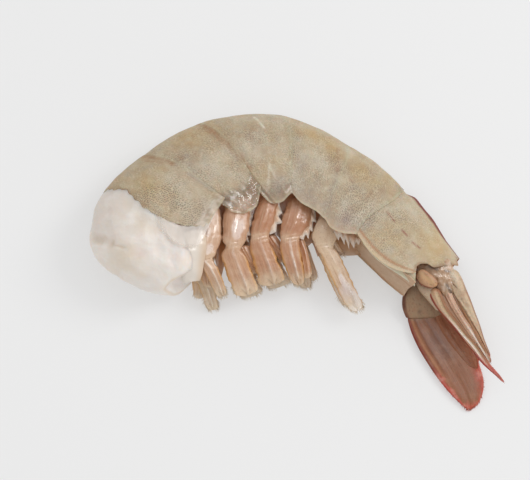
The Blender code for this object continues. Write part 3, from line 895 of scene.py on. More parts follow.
def make_flesh():
    """The whole flesh, with its folds, grain and colours."""
    kept = {}

    def place(q, angle):
        q = np.where(q < BARE_RINGS, q / BARE_RINGS * BARE_END,
                     BARE_END + (q - BARE_RINGS) / (1 - BARE_RINGS) * (1 - BARE_END))
        spot, s, middle, bare = flesh_places(q, angle)
        out = spot - middle
        out /= np.linalg.norm(out, axis=1)[:, None] + 1e-9
        push = bare * (0.75 * waves(spot, 5.5, 3, 2) + 0.07 * waves(spot, 1.2, 4, 2))
        pressed = np.zeros(len(spot))
        for fold in FOLDS:
            pressed = np.maximum(pressed, fold[4] * hill(distance_to_fold(spot, fold), 0, fold[3]))
        push -= pressed
        push += 0.25 * bare * hill(pressed, 0.35, 0.25)
        rest = spot[:, 2] < 0.05
        spot = spot + out * np.where(rest, 0.0, push)[:, None]
        spot[:, 2] = np.maximum(spot[:, 2], 0.0)
        kept.update(s=s, pressed=pressed)
        return spot

    flesh, q, angle = wrapped_ball("flesh_muscle", *FLESH_GRID, place)
    places = corners(flesh) / MM
    s, pressed, soft = kept["s"], kept["pressed"], waves(places, 5.0, 11)
    low_left = hill(np.linalg.norm(places[:, :2] - (-40.5, -3.0), axis=1), 0, 5.0)
    spot = hill(np.linalg.norm(places - (-23.4, -7.0, 8.5), axis=1), 0, 1.6)
    below = smooth(0.52, 0.66, np.abs(angle) / math.pi) * smooth(0.75, 1.0, s)
    # painted shade: the folds are painted beige-brown, and the flesh is painted greyer towards +y
    # to tone down its more brightly lit side
    paint_tone(flesh, mixed(
        FLESH_TONE, (FLESH_PINK, 0.6 * np.clip(soft, 0, 1)),
        (FLESH_BEIGE, 0.55 * np.clip(-waves(places, 6.0, 12), 0, 1)),
        ("#D6C2AA", 0.6 * smooth(0.3, 0.9, pressed) * smooth(1.6, 0.9, pressed)),
        (FLESH_BEIGE, 0.45 * low_left), ("#CDC0B2", 0.45 * smooth(-2.0, 9.0, places[:, 1])),
        ("#C08C5C", 0.7 * spot), (BELLY_BROWN, np.maximum(below, smooth(1.0, 1.7, s)))))
    return hand_in(flesh, FLESH_LOOK, "flesh", "flesh")


FLESH = make_flesh()
print("flesh faces", len(FLESH.data.polygons))

# %% [markdown]
# ## Limbs between two edges
# Each limb is flat and fluted along its length. What the photograph gives best is its two
# edges, so a limb is a table of places along its left and its right edge with a thickness,
# and one rule wraps a ball between them. Legs and tail blades then differ only in numbers.
# Two soft clefts part each limb's end into strands, where the legs ask for it.

# %% Between two edges
def unit(vector):
    """The vector at length one."""
    return vector / np.linalg.norm(vector)


def marks_along(edges):
    """The share of the length at which each row of a limb stands, and the length."""
    table = np.array(edges, float)
    middle = (table[:, :3] + table[:, 3:6]) / 2
    runs = np.linalg.norm(np.diff(middle, axis=0), axis=1)
    return np.concatenate([[0.0], np.cumsum(runs)]) / runs.sum(), runs.sum()


def between(edges, q):
    """Middle, half width, forward, up and thickness at shares q of a limb's length."""
    marks, _ = marks_along(edges)

    def at(share):
        return curve(edges, np.interp(np.clip(share, 0, 1), marks, np.arange(len(edges))))

    here, step = at(q), at(q + 0.01) - at(q - 0.01)
    half = (here[:, 3:6] - here[:, :3]) / 2
    forward = step[:, :3] + step[:, 3:6]
    forward /= np.linalg.norm(forward, axis=1)[:, None]
    up = np.cross(half, forward)
    up /= np.linalg.norm(up, axis=1)[:, None]
    up *= np.sign(up[:, 2].mean())
    return (here[:, :3] + here[:, 3:6]) / 2, half, forward, up, here[:, 6]


def closing(q, ends):
    """How far a limb has opened at shares q: round at both ends, 1 between them."""
    root, tip = ends
    early = np.clip((root - q) / root, 0, 1)
    late = np.clip((q - 1 + tip) / tip, 0, 1)
    return np.sqrt(np.clip((1 - early ** 2) * (1 - late ** 2), 0, 1))


print("at 2 % of its length a limb has opened to", closing(0.02, (0.05, 0.05)).round(2))

# %% Wrap one limb
CLEFTS = (-0.36, 0.42)        # where they run across, from -1 at the left edge to 1
TABLE_GAP = 0.05              # limbs stop this far above the table, mm
PATTERN_STEP = 7.0            # moves the streaks apart, so that no two limbs are alike


def limb(name, edges, ends, around, rings, square, shape, tone, uneven=0.05, ragged=0.0,
         split=0.0):
    """A ball wrapped between the edges: rows of left x, y, z, right x, y, z, thickness, mm.

    shape(q, across) adds relief in mm and tone(q, across, places) colours it. uneven is a
    fine unevenness and split the depth of the clefts in mm, ragged the share that edges vary.
    """
    kept = {}

    def place(q, angle):
        q = (1 - np.cos(math.pi * q)) / 2
        open_share = closing(q, ends)
        across, face = np.cos(angle), np.sin(angle)
        across = np.sign(across) * np.abs(across) ** square
        face = np.sign(face) * np.abs(face) ** square
        middle, half, forward, up, thick = between(edges, q)
        deep = 0.5 * thick * face * open_share
        deep += np.sign(face) * shape(q, across) * open_share * np.abs(face) ** 0.5
        if split:
            back = hill(across, CLEFTS[0], 0.2) + 0.8 * hill(across, CLEFTS[1], 0.18)
            middle = middle - forward * (split * back * smooth(0.8, 1.0, q))[:, None]
        if ragged:
            rim = middle + half * np.sign(across)[:, None]
            wide = 1 + ragged * waves(rim, 1.3, 8, 2) * smooth(0.3, 1.0, np.abs(across))
            half = half * wide[:, None]
        spot = middle + half * (across * open_share)[:, None] + up * deep[:, None]
        if uneven:
            spot += up * (uneven * open_share * waves(spot, 0.9, 6, 2))[:, None]
        spot[:, 2] = np.maximum(spot[:, 2], TABLE_GAP)
        wide = np.linalg.norm(half, axis=1) * across * open_share
        kept.update(q=q, across=across, flow=(wide + PATTERN_STEP * edges[0][0],
                                              q * marks_along(edges)[1], 0.6 * face))
        return spot

    piece, _, _ = wrapped_ball(name, around, rings, place)
    paint_flow(piece, np.stack(kept["flow"], -1))
    paint_tone(piece, tone(kept["q"], kept["across"], corners(piece) / MM))
    return piece, kept["q"]


print("limbs ready")

# %% [markdown]
# ## Hairs
# The branches of the legs and the blades of the fan end in a fringe of bristles. One bristle
# is a thin four-sided cone, bent a little; it is modelled once and copied many times, each
# copy in its own place on a limb's edge.

# %% One bristle and its copies
def model_bristle(sides, bend):
    """A cone one mm long from the origin along +Z, bent along +X: corners and faces."""
    select_none()
    bpy.ops.mesh.primitive_cone_add(vertices=sides, radius1=1, radius2=0.12, depth=1,
                                    end_fill_type="TRIFAN", location=(0, 0, 0.5))
    cone = bpy.context.object
    bpy.ops.object.mode_set(mode="EDIT")
    bpy.ops.mesh.select_all(action="SELECT")
    bpy.ops.mesh.bisect(plane_co=(0, 0, 0.5), plane_no=(0, 0, 1))
    bpy.ops.object.mode_set(mode="OBJECT")
    bpy.ops.object.transform_apply(location=True, rotation=False, scale=False)
    shape = corners(cone)
    shape[:, 0] += bend * shape[:, 2] ** 2
    faces = [tuple(face.vertices) for face in cone.data.polygons]
    bpy.data.objects.remove(cone, do_unlink=True)
    return shape, faces


BRISTLE = model_bristle(4, 0.25)        # sides, and how far its tip bends, mm


def copies(name, model, rows):
    """Copies of a model: rows of root, direction, side direction, length, width."""
    shape, faces = model
    places, polygons = [], []
    for root, direction, side, length, width in rows:
        z = unit(np.array(direction, float))
        y = unit(np.cross(z, side))
        x = np.cross(y, z)
        places.append(np.array(root) + shape[:, :1] * x * width + shape[:, 1:2] * y * width
                      + shape[:, 2:] * z * length)
        step = len(shape) * (len(places) - 1)
        polygons += [tuple(corner + step for corner in face) for face in faces]
    mesh = bpy.data.meshes.new(name)
    mesh.from_pydata((np.vstack(places) * MM).tolist(), [], polygons)
    obj = bpy.data.objects.new(name, mesh)
    bpy.context.scene.collection.objects.link(obj)
    return obj


print("bristle faces", len(BRISTLE[1]))

# %% A fringe along a limb
def fringe(name, edges, ends, q_from, count, length, width, colour, seed, spread=0.5):
    """Bristles rooted along a limb's edges from q_from to its tip."""
    rng = np.random.default_rng(seed)
    q = 1 - (1 - q_from) * rng.uniform(0.0, 1, count) ** 1.4
    side = rng.choice((-1.0, 1.0), count)
    middle, half, forward, _, _ = between(edges, q)
    open_share = closing(q, ends)[:, None]
    roots = middle + half * side[:, None] * open_share * 0.94
    out = half * side[:, None] / np.linalg.norm(half, axis=1)[:, None]
    rows = []
    for i in range(count):
        late = smooth(q_from, 1.0, q[i])
        direction = unit(forward[i] * (0.3 + late) + out[i] * spread * (1.3 - late))
        direction = direction + rng.normal(0, 0.09, 3)
        reach = length * rng.uniform(0.6, 1.1)
        if roots[i][2] + direction[2] * reach < 0.1:
            direction[2] = (0.1 - roots[i][2]) / reach
        rows.append((roots[i], direction, out[i], reach, width * rng.uniform(0.7, 1.2)))
    hairs = copies(name, BRISTLE, rows)
    paint_tone(hairs, linear(colour))
    paint(hairs, clear=0.5, wet=0.3)
    return hairs


print("fringes ready")

# %% [markdown]
# ## The limbs' materials
# The swimming legs are thin skin over pink-brown flesh, soaking wet. They are fluted along
# their length, so the streaks follow the flow of each limb, and the sharp white glints on
# them come from the wet coat and from highlights painted into their colour. The blades of
# the tail fan are hard, flat chitin over dark flesh: brown to grey-violet in the middle, dark
# red along the rims, pink-red at the fringe. Both looks are built alike, from streaks along
# the limb, clouds and specks.

# %% Wet leg skin and tail fan chitin
def make_limb_look(name, streak, in_streak, grains, layers, specks, depth, clear, **values):
    """A look that reads tone, flow and clear, with streaks along a limb and finer grains.

    streak is its width and length in mm, in_streak the waves of noise in one, and grains
    have size in mm, detail and roughness. A layer is a driver, low, high, least, most and
    colour. specks is their share in a relief depth mm deep, clear the alpha where clear.
    """
    material, tree, shader = new_material(name, **values)
    width, length = streak
    flow = add(tree, "Attribute", (), "Vector", attribute_name="flow")
    flow = add(tree, "Mapping", {"Vector": flow, "Scale": (1 / width, 1 / length, 1 / width)})
    where = add(tree, "TexCoord", (), "Object")
    drivers = {"streak": add(tree, "TexNoise",
                             {"Vector": flow, "Scale": in_streak, "Detail": 4.0})}
    for grain, numbers in grains.items():
        drivers[grain] = add(tree, "TexNoise", {"Vector": where, **noise_of(*numbers)})
    base = lay_colours(tree, add(tree, "Attribute", (), "Color", attribute_name="tone"),
                       [(drivers[driver], *row, None, colour) for driver, *row, colour in layers])
    steer(tree, shader, add(tree, "Attribute", (), "Fac", attribute_name="clear"),
          (("Alpha", 0.0, 1.0, 1.0, clear),))
    finish_look(tree, shader, base, drivers["streak"], specks, drivers["speck"], depth)
    return material, tree, shader


# Thin living skin, soaked: streaky, with a strong wet coat where it is painted wet, and
# clear at the tips.
LEG_LOOK, leg_tree, leg_shader = make_limb_look(
    "wet_swimming_leg_skin", (0.625, 25 / 3), 1.4, {"speck": (0.30, 2.0, 0.5)}, (
        ("streak", 0.5, 0.75, 0.0, 0.35, "#E0C4A8"), ("streak", 0.48, 0.28, 0.0, 0.3, "#AE7450"),
        ("speck", 0.58, 0.72, 0.0, 0.4, "#94684A")),
    0.25, 0.12, 0.35, Roughness=0.4, IOR=1.45, Coat_Weight=1.0, Coat_Roughness=0.06,
    Subsurface_Weight=0.3, Subsurface_Scale=0.001, Subsurface_Radius=(1.0, 0.9, 0.8))
leg_tree.links.new(add(leg_tree, "Attribute", (), "Fac", attribute_name="wet"),
                   leg_shader.inputs["Coat Weight"])
# Hard grown chitin: brown-red, streaked along the blade, with a low sheen.
FAN_LOOK = make_limb_look(
    "tail_fan_chitin", (1.0, 10.0), 1.8, {"cloud": (3.0, 3.0, 0.6), "speck": (0.40, 2.0, 0.5)}, (
        ("streak", 0.5, 0.8, 0.0, 0.15, "#C49C80"), ("streak", 0.5, 0.25, 0.0, 0.2, "#7A4C3A"),
        ("cloud", 0.45, 0.7, 0.0, 0.3, "#B08468"), ("speck", 0.56, 0.7, 0.0, 0.35, "#6A4C3C")),
    0.3, 0.08, 0.4, Roughness=0.5, IOR=1.45, Coat_Weight=0.04, Coat_Roughness=0.15,
    Subsurface_Weight=0.15, Subsurface_Scale=0.001, Specular_IOR_Level=0.3)[0]
LEG_TONE, LEG_DARK, LEG_PALE, LEG_EDGE = "#C08E6C", "#A4683F", "#E8D4B6", "#D29C54"
print("leg tone", linear(LEG_TONE).round(2))

# %% [markdown]
# ## The ten swimming legs
# A swimming leg is a stout base, a wrinkled knee and two flat branches. The left row lies
# uppermost; the right row, below it, is the same row turned a little, brought down to the
# table and painted paler, which lifts the shade it lies in. The base and its outer branch are
# one limb, so that the skin runs on over the knee; the inner branch is a second limb behind
# it. A white highlight along the ridge and a few highlight patches are painted into the
# colour, because lamps alone don't place them as on the real legs; on leg 5 such patches
# whiten the tip.

# %% Leg edges
# each leg: the hip's station, the row of the knee, the outer limb and the inner branch
# rows: left x, y, z, right x, y, z, thickness in mm, from the hip to the tip
LEGS = (
    (1.58, 4, (
        (-21.2, 10.5, 10.6, -17.1, 10.4, 10.6, 3), (-22.6, 6.8, 10.5, -16.8, 7.4, 10.4, 3.2),
        (-23.4, 2.4, 10.3, -16.9, 3.1, 10, 3.2), (-23.6, -0.6, 9.9, -18.1, -0.8, 9.8, 2.8),
        (-23.1, -2.2, 9.6, -18.9, -1.9, 9.6, 2.3), (-21.3, -4.1, 9, -17.8, -3.7, 8.9, 1.8),
        (-19.8, -6.5, 7.8, -16.6, -6.2, 7.7, 1.5), (-18.6, -8.8, 6.6, -15.8, -8.3, 6.5, 1.2),
        (-17.7, -10.2, 5.6, -15.4, -9.4, 5.5, 0.8)), (
        (-21.9, -1.1, 8.6, -19.6, -1.3, 8.4, 1.6), (-22.1, -3.3, 7.8, -19.1, -3.5, 7.6, 1.4),
        (-21.7, -5.7, 6.8, -18.6, -5.6, 6.6, 1.2), (-21, -7.8, 6, -18.9, -7.6, 5.9, 0.8))),
    (2.46, 4, (
        (-15.4, 12.8, 10.8, -9.8, 13.5, 10.4, 3), (-16.5, 9.2, 10.9, -10, 9.5, 10.3, 3.4),
        (-16.8, 5.8, 10.7, -10.4, 6, 10.1, 3.4), (-16.6, 2.5, 10.3, -11.1, 2.7, 9.8, 3),
        (-15.9, 1, 10, -12.4, 0.5, 9.7, 2.4), (-16.8, -0.6, 9.3, -11.6, -0.6, 9.2, 2.2),
        (-16.2, -3.3, 8.4, -10.5, -2.8, 8.2, 1.9), (-15.1, -6.3, 7.2, -9.3, -5.5, 7, 1.6),
        (-14, -8.9, 6.1, -8.5, -7.8, 5.9, 1.3), (-13.2, -10.1, 5.4, -8.3, -8.7, 5.3, 0.9)), (
        (-13.5, 1.5, 8.8, -10.3, 2.1, 8.6, 1.8), (-11.9, -1.1, 7.8, -9.3, -0.3, 7.6, 1.5),
        (-10.5, -3.2, 6.8, -8.2, -2.1, 6.6, 1.2), (-9.6, -4.7, 6, -7.5, -3.6, 5.8, 0.8))),
    (3.28, 3, (
        (-7.2, 13.5, 10.4, -3.5, 13.3, 10.2, 2.8), (-8.9, 9.6, 10.6, -3.8, 10.2, 10.3, 3.2),
        (-9.8, 6.4, 10.4, -4.4, 7.1, 10, 3.2), (-10.1, 3.1, 9.9, -5.9, 3.2, 9.6, 2.6),
        (-10.1, 0.5, 9, -4.9, 0.8, 8.8, 2.2), (-9.2, -2.8, 7.8, -3.5, -2.2, 7.6, 1.9),
        (-8.3, -6, 6.5, -2.3, -5, 6.3, 1.5), (-7.3, -7.7, 5.6, -2, -6.1, 5.4, 1)), (
        (-7.5, 4.1, 8.6, -4.2, 4.7, 8.4, 1.8), (-5.6, 1.5, 7.6, -2.8, 2.5, 7.4, 1.5),
        (-3.9, -0.7, 6.8, -1.6, 0.3, 6.6, 1.1), (-3, -1.9, 6, -1.1, -0.9, 5.9, 0.8))),
    (4.24, 3, (
        (-0.9, 13.4, 10, 4.3, 12.8, 9.6, 2.8), (-2.3, 9.5, 10.3, 4.4, 9.4, 9.8, 3.2),
        (-3.1, 6.1, 10, 3.5, 6, 9.5, 3.2), (-3.2, 3, 9.5, 1.3, 2.9, 9.3, 2.5),
        (-3.1, 0.1, 8.6, 1.5, 0.2, 8.5, 2.2), (-2.2, -2.9, 7.4, 2.1, -2.6, 7.3, 1.9),
        (-1.1, -5.5, 6.2, 2.4, -4.9, 6.1, 1.5), (0.3, -7.2, 5.4, 2.4, -6.8, 5.4, 1)), (
        (0, 3.7, 8.4, 2.4, 3.8, 8.2, 1.8), (1.4, 0.5, 7.6, 3.1, 1.1, 7.4, 1.6),
        (2, -2.7, 6.8, 3.8, -1.9, 6.6, 1.3), (2.4, -5.9, 6, 4.4, -4.9, 5.9, 0.9))),
    (5.24, 3, (
        (6.6, 9.9, 9.2, 10.2, 9, 8.8, 2.6), (5.1, 6.6, 9.4, 10.1, 6, 8.9, 3),
        (4.2, 4, 9, 10.2, 3.6, 8.6, 2.8), (4.8, 2.2, 8.6, 9.3, 1.6, 8.3, 2.2),
        (5.9, 0.1, 8, 10.3, 0.2, 7.8, 1.9), (7.7, -3.5, 7, 12.2, -3.2, 6.8, 1.6),
        (9.6, -7.3, 5.9, 13.9, -6.9, 5.7, 1.3), (11.4, -10.7, 5.1, 15.6, -10.2, 4.9, 1),
        (13.5, -13.5, 4.5, 16.3, -12.5, 4.4, 0.7)), (
        (7.1, 3.5, 7.4, 9.9, 3.6, 7.2, 1.6), (8.7, 1.6, 6.6, 11.1, 1.9, 6.4, 1.3),
        (10.4, -0.4, 5.8, 12.3, 0.2, 5.7, 0.9))),
)
print(len(LEGS) * 2, "legs")

# %% Skins of the legs and their right twins
HIP_OUT = 0.40                # how far out a hip sits, as a share of the half width
# turn in degrees and scale of each right leg against its left twin
RIGHT_TWIN = ((-7.0, 1.08), (3.0, 0.96), (4.0, 0.96), (5.5, 0.94), (-1.5, 0.83))
RIGHT_LEVEL = 1.0             # the level of the right legs' tips, mm
# each leg: pallor, clear tip, wetness, unevenness in mm, strength of the white highlight
# painted along its ridge, folds in mm, and patches of painted highlight, which on leg 5
# whiten the tip: share across, share down to the knee, half width, half length, strength
LEG_SKINS = (
    (0.30, 0.35, 0.9, 0.07, 1.0, 0.16, ((0.0, 0.52, 0.3, 0.1, 0.4),
                                        (0.35, 0.82, 0.35, 0.12, 0.5))),
    (0.12, 0.2, 1.0, 0.035, 0.5, 0.05, ((0.14, 0.64, 0.5, 0.24, 0.5),)),
    (0.0, 0.3, 0.45, 0.09, 0.4, 0.16, ()),
    (0.0, 0.3, 0.8, 0.09, 0.9, 0.16, ()),
    (0.6, 1.0, 0.5, 0.07, 0.3, 0.12, ((0.05, 2.4, 0.45, 0.5, 0.8), (0.0, 3.1, 1.6, 0.8, 0.6))),
)
LEG_ENDS, INNER_ENDS = (0.04, 0.05), (0.10, 0.12)      # shares of a limb that round it off
LEG_GRID, INNER_GRID = (64, 140, 0.82), (36, 60, 0.85)  # faces around and along, squareness
RAGGED, SPLIT = 0.11, 1.5     # how far edges vary, and depth of the clefts in mm
# bristles: from where on, how many, length and width in mm, colour
LEG_BRISTLES, INNER_BRISTLES = (0.88, 90, 1.0, 0.05, "#DCC7A8"), (0.7, 30, 0.9, 0.045, "#D9C3A4")
BRISTLE_SPREAD = 0.3


def right_twin(number, edges):
    """The edges of the right leg: the left one's, turned, scaled and laid lower."""
    turn, scale = RIGHT_TWIN[number - 1]
    turn = math.radians(turn)
    s = np.array([LEGS[number - 1][0]])
    row = station(s)[0]
    out, down = HIP_OUT * row[WIDTH] / 2, -BELLY * row[HEIGHT] - GAP - 0.25
    near = body_points(s, np.array([out]), np.array([down]))[0]
    far = body_points(s, np.array([-out]), np.array([down]))[0]
    table = np.array(edges, float)
    high, low = table[:, 2].max(), table[:, 2].min()
    for first in (0, 3):
        x, y = table[:, first] - near[0], table[:, first + 1] - near[1]
        table[:, first] = far[0] + scale * (x * math.cos(turn) - y * math.sin(turn))
        table[:, first + 1] = far[1] + scale * (x * math.sin(turn) + y * math.cos(turn))
        level = (table[:, first + 2] - low) / (high - low)
        table[:, first + 2] = RIGHT_LEVEL + level * (far[2] + 0.3 - RIGHT_LEVEL)
    return [tuple(line) for line in table]


print("right leg 1 ends at", [round(value, 1) for value in right_twin(1, LEGS[0][2])[-1][:3]])

# %% Leg relief and colours
def clefts(across, reach):
    """Both clefts of a limb as a relief."""
    return hill(across, CLEFTS[0], reach) + hill(across, CLEFTS[1], reach)


def ridge_at(q, knee):
    """Where the ridge of a branch runs across."""
    return 0.05 + 0.3 * (q - knee)


def leg_relief(knee, fold):
    """Soft folds on the base, wrinkles at the knee, a ridge and flutes on the branch."""
    def shape(q, across):
        base, branch = smooth(knee, knee - 0.1, q), smooth(knee, knee + 0.1, q)
        folds = fold * (np.sin(across * 4.6 + 1.0 + 2.5 * q) + 0.4 * np.sin(across * 10 + 6 * q))
        folds = folds - smooth(knee + 0.10, knee + 0.3, q) * 0.30 * clefts(across, 0.10)
        ridge = 0.34 * hill(across, ridge_at(q, knee), 0.13)
        flutes = 0.05 * np.cos(across * 11 + 1 + 3 * q) + 0.02 * np.sin(across * 29 + 2 * q)
        wrinkles = 0.10 * np.sin(q * 170 + across * 4) * hill(q, knee, 0.05)
        return base * folds + branch * (ridge + flutes) + wrinkles
    return shape


def inner_relief(q, across):
    """The inner branch: one ridge with flutes beside it."""
    return 0.2 * hill(across, 0.1, 0.15) + 0.08 * np.cos(across * 15)


def leg_tones(pallor, knee, ridge_highlight=0.6, highlight_patches=()):
    """Colours of one limb: dark at the hip, wrinkled pale knee, painted shade in the clefts,
    painted highlights, yellow edges, pale tip.
    """
    def tone(q, across, places):
        fine = waves(places, 1.6, 5, 2)
        # the last coat here is shade painted into the clefts between the strands
        tones = mixed(
            LEG_TONE, (LEG_DARK, 0.3 * np.clip(fine, 0, 1)),
            (LEG_PALE, pallor + 0.2 * np.clip(-fine, 0, 1)),
            (LEG_PALE, 0.3 * hill(q, knee - 0.02, 0.05)), (LEG_DARK, 0.45 * smooth(0.12, 0.0, q)),
            (LEG_DARK, (0.4 - 2 * pallor) * smooth(knee, knee - 0.1, q)),
            (LEG_DARK, 0.4 * clefts(across, 0.06) * smooth(knee + 0.1, knee + 0.3, q)))
        # a white highlight painted along the ridge of the branch
        streak = hill(across, ridge_at(q, knee), 0.09) * smooth(knee - 0.04, knee + 0.06, q)
        tones = mixed(tones, ("#FBF2E8", ridge_highlight * streak * np.clip(0.8 + fine, 0, 1)))
        # patches of painted highlight; on leg 5 they whiten the tip
        for middle, q0, half, reach, strength in highlight_patches:
            far = np.hypot((across - middle) / half, (q / knee - q0) / reach) + 0.25 * fine
            tones = mixed(tones, ("#F4E8E2", strength * smooth(1.0, 0.7, far)))
        edge = smooth(0.70, 0.95, np.abs(across)) * smooth(knee, knee + 0.2, q)
        return mixed(tones, (LEG_EDGE, 0.75 * edge),
                     (LEG_PALE, 0.7 * smooth(0.78, 1.0, q + 0.05 * fine)))
    return tone


print("relief and colours ready")

# %% Make the legs
def make_leg(number, side):
    """One swimming leg: base with outer branch, inner branch and bristles in one piece."""
    _, knee_row, outer, inner = LEGS[number - 1]
    pallor, clear_top, wet, uneven, ridge_highlight, fold, highlight_patches = LEG_SKINS[number - 1]
    near = side == "left"
    if not near:
        edges = right_twin(number, outer + inner)
        outer, inner = edges[:len(outer)], edges[len(outer):]
        # the right row lies in the shade of the left one, and is painted paler to lift it
        pallor, clear_top = pallor + 0.5, 0.5
    name = f"pleopod_{side}_{number}"
    knee = marks_along(outer)[0][knee_row]
    body, q = limb(name + "_outer", outer, LEG_ENDS, *LEG_GRID, leg_relief(knee, fold),
                   leg_tones(pallor, knee, ridge_highlight, highlight_patches if near or number == 5 else ()),
                   uneven, RAGGED, SPLIT)
    damp = smooth(-0.2, 0.3, waves(corners(body) / MM, 2.5, 80 + number, 2))
    paint(body, clear=clear_top * smooth(0.62 if near else 0.4, 0.9, q),
          wet=wet * (0.4 + 0.6 * damp))
    branch, q = limb(name + "_inner", inner, INNER_ENDS, *INNER_GRID, inner_relief,
                     leg_tones(pallor, -0.3), 0.04, 0.08)
    paint(branch, clear=clear_top * smooth(0.5, 0.95, q), wet=0.3)
    whole = join(f"{name}_skin", [
        body, branch, fringe(name + "_hairs", outer, LEG_ENDS, *LEG_BRISTLES,
                             10 * number + near, BRISTLE_SPREAD),
        fringe(name + "_hairs_in", inner, INNER_ENDS, *INNER_BRISTLES,
               90 + 10 * number + near, BRISTLE_SPREAD)])
    return hand_in(whole, LEG_LOOK, "pleopod", name)


LEG_PIECES = [make_leg(number, side) for side in ("left", "right") for number in range(1, 6)]
print("leg faces", [len(leg.data.polygons) for leg in LEG_PIECES])

# %% [markdown]
# ## Torn skin behind the leg bases
# Between the bases of the left legs the skin ends in pale torn points, as a thin sheet that
# is held at one edge and cut into teeth at the other. So it is a sheet between two rails, and
# its reach from the first rail rises and falls in uneven points.

# %% Sheets and torn edges
def sheet(name, top, bottom, across, along, reach=None, lift=None):
    """A grid between two rails of places in mm; reach(a) shortens it, lift(a, b) raises it."""
    kept = {}

    def place(p, q):
        a, b = (p + 1) / 2, (q + 1) / 2
        start, end = curve(top, a * (len(top) - 1)), curve(bottom, a * (len(bottom) - 1))
        share = b * (reach(a) if reach else 1.0)
        spot = start + (end - start) * share[:, None]
        if lift:
            spot[:, 2] += lift(a, b)
        kept.update(a=a, b=b)
        return spot

    piece, _, _ = wrapped_grid(name, across, along, place)
    return piece, kept["a"], kept["b"]


def finish_sheet(piece, tones, wall, edge_wall, fullness, **values):
    """Paint a sheet and give it its thickness."""
    paint_tone(piece, tones)
    paint(piece, **values)
    add_wall(piece, wall, edge_wall, fullness)
    return piece


def torn(count, seed, root=0.45):
    """Reach of a torn edge: count leaning points of uneven height and width."""
    rng = np.random.default_rng(seed)
    heights = rng.uniform(0.45, 1.0, count)
    marks = np.concatenate([[0.0], np.cumsum(rng.uniform(0.6, 1.4, count))])
    marks /= marks[-1]

    def reach(a):
        i = np.clip(np.searchsorted(marks, a, side="right") - 1, 0, count - 1)
        x = (a - marks[i]) / (marks[i + 1] - marks[i])
        point = np.where(x < 0.6, x / 0.6, (1 - x) / 0.4) ** 1.2
        return root + (1 - root) * point * heights[i]
    return reach


print("a torn edge reaches", torn(3, 0)(np.linspace(0, 1, 5)).round(2))

# %% Make the torn skin
# rail at the leg, rail at the points, number of points
FLAPS = (
    (((-10.9, 12.6, 10.6), (-10.6, 9.6, 10.8), (-10.8, 6.6, 10.6), (-11.6, 3.4, 10.2)),
     ((-9.4, 12.0, 10.2), (-9.2, 9.0, 10.2), (-9.6, 5.5, 10.1), (-10.6, 1.6, 9.8)), 6),
    (((-4.6, 12.8, 10.6), (-4.5, 9.8, 10.7), (-4.9, 7.3, 10.5), (-6.5, 4.8, 10.1)),
     ((-2.3, 11.3, 10.3), (-2.4, 8.3, 10.3), (-2.6, 6.0, 10.2), (-4.3, 3.0, 9.9)), 3),
    (((4.0, 11.2, 10.0), (3.9, 8.4, 10.2), (3.4, 6.2, 10.0), (1.0, 4.0, 9.8)),
     ((6.3, 7.7, 9.8), (5.0, 4.9, 9.8), (3.7, 3.1, 9.7), (2.1, 1.9, 9.7)), 4),
    (((9.0, 6.0, 9.9), (11.2, 5.4, 10.0), (13.3, 4.3, 9.9), (15.4, 3.4, 9.7)),
     ((9.9, 2.2, 9.4), (11.9, 0.6, 9.3), (13.6, 0.2, 9.1), (15.5, 1.2, 9.0)), 5),
)


def make_flaps():
    """The torn skin behind four left legs, in one piece."""
    parts = []
    for number, (top, bottom, count) in enumerate(FLAPS):
        def curl(a, b):
            return 0.35 * np.sin(math.pi * b) + 0.15 * np.sin(a * 23 + number)

        part, _, b = sheet(f"flap_{number}", top, bottom, 150, 24, torn(count, number), curl)
        late = smooth(0.3, 0.9, b)
        parts.append(finish_sheet(
            part, mixed("#D2AC8E", ("#F0E2D2", 0.9 * late)), 0.32, 0.10, smooth(1.0, 0.3, b),
            clear=0.3 * late if number else 0.5 + 0.3 * b, wet=0.3))
    return hand_in(join("pleopod_flaps", parts), LEG_LOOK, "pleopod")


TORN_SKIN = make_flaps()
print(len(FLAPS), "torn edges, faces", len(TORN_SKIN.data.polygons))

# %% [markdown]
# ## The tail fan
# Behind segment 6 stand the telson, a pointed spike, and two pairs of blades on two stout
# bases. The shrimp lies on its side, so the left pair stands on edge beside the telson, as
# narrow strips with dark grooves between them, and the right outer blade lies flat on the
# table, with its base running on into it over a cross joint.

# %% Reliefs of the fan
def blade_relief(q, across):
    """The lying blade: two long ribs, a rim, a sunk middle and a lip at the joint."""
    ribs = 0.22 * hill(across, -0.57, 0.05) * smooth(0.65, 0.5, q)
    ribs += 0.18 * hill(across, 0.0, 0.05) * smooth(0.6, 0.4, q)
    rim = 0.16 * hill(np.abs(across), 0.94, 0.05)
    sunk = -0.12 * hill(across, -0.25, 0.22) * smooth(0.1, 0.25, q)
    return ribs * smooth(0.03, 0.1, q) + rim + sunk + 0.03 * np.sin(across * 44)


def strip_relief(q, across):
    """A blade on edge: ribs along it."""
    return 0.10 * np.sin(across * 7 + 0.7) + 0.05 * np.sin(across * 21) * smooth(0.1, 0.3, q)


def telson_line(q):
    """Where the groove runs on the telson, from its left edge over to its right."""
    return reading(((0.0, -1.0), (0.3, -0.9), (0.49, -0.4), (0.63, -0.15), (0.77, 0.3),
                    (0.9, 0.58), (1.0, 0.8)), q)[0]


def telson_slit(q, across, wide, long):
    """The short slant slit near the telson's root."""
    return hill(across, -0.56 + 4.8 * (q - 0.13), wide) * hill(q, 0.185, long)


def telson_relief(q, across):
    """The telson: one groove between two ridges, a slit near the root, small pits."""
    off = across - telson_line(q)
    groove = -0.25 * hill(off, 0.0, 0.12) + 0.2 * hill(off, 0.25, 0.15)
    pits = 0.03 * np.sin(q * 90 + across * 6)
    return groove - 0.3 * telson_slit(q, across, 0.08, 0.06) + pits


def smooth_relief(q, across):
    """Nearly plain, with a faint ripple."""
    return 0.05 * np.sin(across * 6 + 9 * q)


